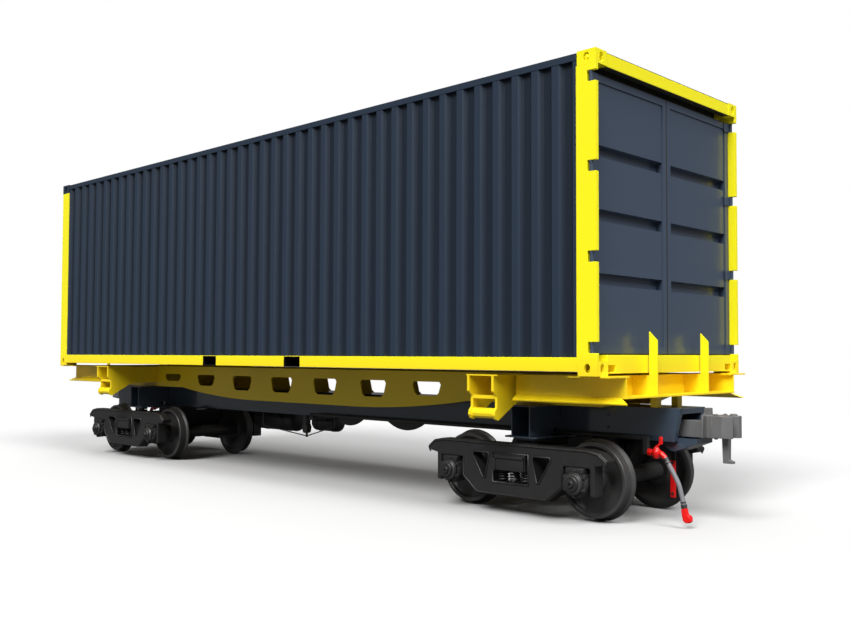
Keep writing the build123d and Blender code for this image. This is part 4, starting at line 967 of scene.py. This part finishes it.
for name, end in (("near", 1), ("far", -1)):
    data = bpy.data.curves.new("brake_hose_" + name, "CURVE")
    data.dimensions = "3D"
    data.bevel_depth = hoseSettings["diameter"] / 2
    data.bevel_resolution = hoseSettings["roundness"]
    data.resolution_u = hoseSettings["resolution"]
    data.use_fill_caps = True
    spline = data.splines.new("NURBS")
    spline.points.add(len(hoseSettings["route"]) - 1)
    for point, (x, z) in zip(spline.points, hoseSettings["route"]):
        point.co = (*endPoint(end, x, z), 1)
    spline.order_u = 3
    spline.use_endpoint_u = True
    spline.resolution_u = hoseSettings["resolution"]
    hose = bpy.data.objects.new("hose_" + name, data)
    bpy.context.scene.collection.objects.link(hose)
    data.materials.append(finishes["hose_rubber"])
    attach(hose, "wagon")
    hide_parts("brake_hose_" + name)

    collars = []
    for first, second in hoseSettings["collars"]:
        reach = [endPoint(end, *first), endPoint(end, *second)]
        collars.append(rod(reach, hoseSettings["collarRadius"], sides=hoseSettings["collarSides"]))
    collars = joinAll(collars)
    settle(collars, "hose_collars_" + name, "brake_grey", "wagon", hoseSettings["smoothAngle"])
print("hoses laid")

cocks = []
for end in (1, -1):
    bore = [endPoint(end, x, z) for x, z in cockSettings["bore"]]
    boreRadius, boreSides = cockSettings["boreRadius"], cockSettings["boreSides"]
    cocks.append(rod(bore, boreRadius, smooth=True, sides=boreSides))
    nut = [endPoint(end, x, z) for x, z in cockSettings["nut"]]
    cocks.append(rod(nut, cockSettings["nutRadius"]))
    plug = turned(cockSettings["plug"], cockSettings["plugSegments"])
    plug.rotation_euler = (radians(90), 0, 0)
    plug.location = endPoint(end, cockSettings["plugX"], 0)
    cocks.append(plug)
    handle = [endPoint(end, x, z) for x, z in cockSettings["handle"]]
    handleRadius, handleSides = cockSettings["handleRadius"], cockSettings["handleSides"]
    cocks.append(rod(handle, handleRadius, smooth=True, sides=handleSides))
    grip = block(*cockSettings["grip"], cockSettings["gripBevel"])
    if end < 0:
        grip.rotation_euler = (0, 0, pi)
    cocks.append(grip)
    boltZ, boltRadius, boltRise = cockSettings["topBolt"]
    cocks.append(boltHead(endPoint(end, cockSettings["plugX"], boltZ), boltRadius, boltRise, "Z"))
cocks = joinAll(cocks)
settle(cocks, "cocks_red", "fitting_red", "wagon", cockSettings["smoothAngle"])
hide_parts("angle_cocks")
print("cocks built")

# Finer edges on the CAD nodes that keep their shape
edgeWidths = {
    "castings_top_near": 0.005, "castings_top_far": 0.005, "castings_bottom": 0.005, "corner_posts": 0.004,
    "bottom_rails": 0.003, "fork_pockets": 0.002, "top_rails": 0.004, "door_frame": 0.005,
    "door_right": 0.003, "door_left": 0.003, "side_wall_right": 0.004, "side_wall_left": 0.004,
    "end_wall": 0.004, "cradle_girders": 0.003, "cradle_cross_members": 0.003, "end_frame_near": 0.003,
    "end_frame_far": 0.003, "hook_brackets": 0.004, "centre_sill": 0.004, "body_bolsters": 0.004,
    "coupler_near": 0.009, "coupler_far": 0.009, "gladhand_near": 0.008, "gladhand_far": 0.008,
    "side_frames_near": 0.012, "side_frames_far": 0.012, "bogie_bolster_near": 0.009,
    "bogie_bolster_far": 0.009, "brake_beams_near": 0.006, "brake_beams_far": 0.006,
    "brake_equipment": 0.004, "brake_rods": 0.002,
}
edgeSettings = {"merge": 0.0001, "wide": 0.005, "angle": 25}
for name, width in edgeWidths.items():
    node = frame["nodes"][name]
    weld = node.modifiers.new("weld", "WELD")
    weld.merge_threshold = edgeSettings["merge"]
    addBevel(node, width, 3 if width > edgeSettings["wide"] else 2, edgeSettings["angle"])
    level = node.modifiers.new("level", "WEIGHTED_NORMAL")
    level.keep_sharp = True
print("edges bevelled")

# Vessels: domed ends on the brake cylinder and the reservoir
vesselSettings = (
    {"x": -0.445, "y": 0.330, "z": 0.575, "radius": 0.110, "length": 0.380, "dome": 0.030},
    {"x": -1.500, "y": 0.380, "z": 0.560, "radius": 0.140, "length": 0.760, "dome": 0.048},
)
shellSettings = {
    "segments": 64,
    "skin": 0.001,
    "domeSteps": 8,
    "poleRadius": 0.006,
    "bands": (-0.32, 0.32),
    "bandHalf": 0.02,
    "bandRise": 0.004,
}
shells = []
for vessel in vesselSettings:
    radius, dome, reach = vessel["radius"] + shellSettings["skin"], vessel["dome"], vessel["length"] / 2
    steps = shellSettings["domeSteps"]
    rise = [radians(90 * step / steps) for step in range(steps + 1)]
    cap = [(reach + dome * sin(turn), max(shellSettings["poleRadius"], radius * cos(turn))) for turn in rise]
    stations = [(-along, wide) for along, wide in reversed(cap)] + cap
    shell = turned(stations, shellSettings["segments"])
    shell.rotation_euler = (0, 0, radians(-90))
    shell.location = (vessel["x"], vessel["y"], vessel["z"])
    shells.append(shell)
    for along in shellSettings["bands"]:
        x = vessel["x"] + along * vessel["length"]
        low, high = x - shellSettings["bandHalf"], x + shellSettings["bandHalf"]
        outer = radius + shellSettings["bandRise"]
        band = turned(((low, radius), (low, outer), (high, outer), (high, radius)), shellSettings["segments"])
        band.rotation_euler = (0, 0, radians(-90))
        band.location = (0, vessel["y"], vessel["z"])
        shells.append(band)
shells = joinAll(shells)
settle(shells, "vessel_shells", "brake_grey", "wagon")
print("vessels built")

# Door seals, hinge pins, and thin black sheets under the header and behind the gap above the doors as painted
# shadow
doorSettings = {
    "face": 4.4905,
    "low": 1.438,
    "high": 3.680,
    "inner": 0.006,
    "outer": 1.173,
    "sealSunk": 0.004,
    "sealRadius": 0.0055,
    "sealAngle": 60,
    "hinges": (1.485, 2.2017, 2.9183, 3.635),
    "hingeX": 4.5085,
    "hingeY": 1.200,
    "pinOffset": 0.036,
    "pinRadius": 0.011,
    "pinRise": 0.006,
    "pinSides": 24,
    # painted shadow: two thin black sheets, one behind the gap above the doors and one under the header
    "gutter": ((4.4094, -1.056, 3.686), (4.4114, 1.056, 3.785)),
    "header": ((4.4925, -1.056, 3.7275), (4.5572, 1.056, 3.7302)),
}


def sealFrame(side):  # seal round one leaf
    face, low, high = doorSettings["face"], doorSettings["low"], doorSettings["high"]
    inner, outer = side * doorSettings["inner"], side * doorSettings["outer"]
    x = face - doorSettings["sealSunk"]
    strips = []
    for first, second in (
        ((inner, low), (inner, high)),
        ((outer, low), (outer, high)),
        ((inner, high), (outer, high)),
        ((inner, low), (outer, low)),
    ):
        strips.append(rod([(x, *first), (x, *second)], doorSettings["sealRadius"]))
    return strips


for name, side in (("door_right", -1), ("door_left", 1)):
    seals = joinAll(sealFrame(side))
    settle(seals, name + "_seal", "sealRubberAndShadowBlack", name, doorSettings["sealAngle"])
    pins = []
    for z in doorSettings["hinges"]:
        for step in (-1, 1):
            height = z + step * doorSettings["pinOffset"]
            place = (doorSettings["hingeX"], side * doorSettings["hingeY"], height)
            pinRadius, pinRise = doorSettings["pinRadius"], doorSettings["pinRise"]
            pins.append(boltHead(place, pinRadius, pinRise, "Z", doorSettings["pinSides"]))
    pins = joinAll(pins)
    settle(pins, name + "_pins", "boltSteel", name)
# painted shadow: thin black sheets under the header and behind the gap above the doors
strips = [block(*doorSettings["gutter"]), block(*doorSettings["header"])]
settle(joinAll(strips), "header_seal", "sealRubberAndShadowBlack", "wagon")
print("doors trimmed")

# Bolt rows on the sill
boltSettings = {
    "radius": 0.013,
    "rise": 0.010,
    "sunk": 0.001,
    "sillRows": ((4.02, 0.790), (4.02, 0.900), (3.52, 0.790), (3.52, 0.900), (3.28, 0.790), (3.28, 0.900)),
    "sillY": 0.220,
}
bolts = []
for end in (-1, 1):
    for side in (-1, 1):
        for x, z in boltSettings["sillRows"]:
            y = side * (boltSettings["sillY"] + boltSettings["rise"] / 2 - boltSettings["sunk"])
            bolts.append(boltHead((end * x, y, z), boltSettings["radius"], boltSettings["rise"]))
bolts = joinAll(bolts)
settle(bolts, "sill_bolts", "sill_paint", "wagon")
print("sill bolted")

# Couplers: knuckle pin, straps round the head and lock bolts
couplerSettings = {
    "pin": ((0.912, 0.014), (0.912, 0.030), (0.928, 0.032), (0.936, 0.030), (0.940, 0.022), (0.940, 0.010)),
    "pinX": 5.065,
    "pinY": 0.062,
    "pinSegments": 32,
    "straps": (4.872, 4.956),
    "strapThick": 0.014,
    "strapHalf": 0.137,
    "strapLow": 0.738,
    "strapHigh": 0.929,
    "strapBevel": 0.004,
    "lockX": 4.98,
    "lockY": (-0.085, 0.085),
    "lockZ": (0.930, 0.737),
    "lockRadius": 0.016,
    "lockRise": 0.014,
}
for name, end in (("near", 1), ("far", -1)):
    extras = []
    pin = turned(couplerSettings["pin"], couplerSettings["pinSegments"])
    pin.rotation_euler = (radians(90), 0, 0)
    pin.location = (couplerSettings["pinX"], couplerSettings["pinY"], 0)
    extras.append(pin)
    for x in couplerSettings["straps"]:
        low = (x, -couplerSettings["strapHalf"], couplerSettings["strapLow"])
        high = (x + couplerSettings["strapThick"], couplerSettings["strapHalf"], couplerSettings["strapHigh"])
        extras.append(block(low, high, couplerSettings["strapBevel"]))
    for y in couplerSettings["lockY"]:
        for z in couplerSettings["lockZ"]:
            place = (couplerSettings["lockX"], y, z)
            extras.append(boltHead(place, couplerSettings["lockRadius"], couplerSettings["lockRise"], "Z"))
    extras = joinAll(extras)
    if end < 0:
        extras.rotation_euler = (0, 0, pi)
    settle(extras, "coupler_trim_" + name, "coupler_cast", "coupler_" + name)
print("couplers trimmed")

# Red brake levers on dark hangers below the sill's trays
leverSettings = {
    "lever": ((4.509, -0.007, 0.195), (4.561, 0.007, 0.515)),
    "leverBevel": 0.006,
    "hanger": ((4.517, 0.008, 0.480), (4.553, 0.020, 0.625)),
    "hangerBevel": 0.003,
    "boltX": 4.535,
    "boltY": 0.012,
    "boltZ": (0.495, 0.230),
    "boltRadius": 0.013,
    "boltRise": 0.012,
}
levers, hangers = [], []
for end in (-1, 1):
    lever = block(*leverSettings["lever"], leverSettings["leverBevel"])
    hanger = block(*leverSettings["hanger"], leverSettings["hangerBevel"])
    for thing in (lever, hanger):
        if end < 0:
            thing.rotation_euler = (0, 0, pi)
    levers.append(lever)
    hangers.append(hanger)
    for z in leverSettings["boltZ"]:
        place = (end * leverSettings["boltX"], -end * leverSettings["boltY"], z)
        hangers.append(boltHead(place, leverSettings["boltRadius"], leverSettings["boltRise"]))
settle(joinAll(levers), "brake_levers", "fitting_red", "wagon")
settle(joinAll(hangers), "lever_hangers", "brake_grey", "wagon")
print("levers hung")

# Gladhand faces with their rubber rings
gladSettings = {
    "x": 4.832,
    "z": 0.084,
    "segments": 40,
    "face": (
        (-0.026, 0.020), (-0.026, 0.030), (-0.022, 0.034), (0.022, 0.034), (0.026, 0.030), (0.026, 0.020),
    ),
    "ring": ((0.024, 0.012), (0.028, 0.014), (0.029, 0.018), (0.028, 0.021), (0.024, 0.021)),
}
for name, end in (("near", 1), ("far", -1)):
    place = endPoint(end, gladSettings["x"], gladSettings["z"])
    disc = turned(gladSettings["face"], gladSettings["segments"])
    disc.location = place
    settle(disc, "gladhand_face_" + name, "fitting_red", "wagon")
    ring = turned(gladSettings["ring"], gladSettings["segments"])
    ring.location = place
    settle(ring, "gladhand_ring_" + name, "sealRubberAndShadowBlack", "wagon")
print("gladhands faced")
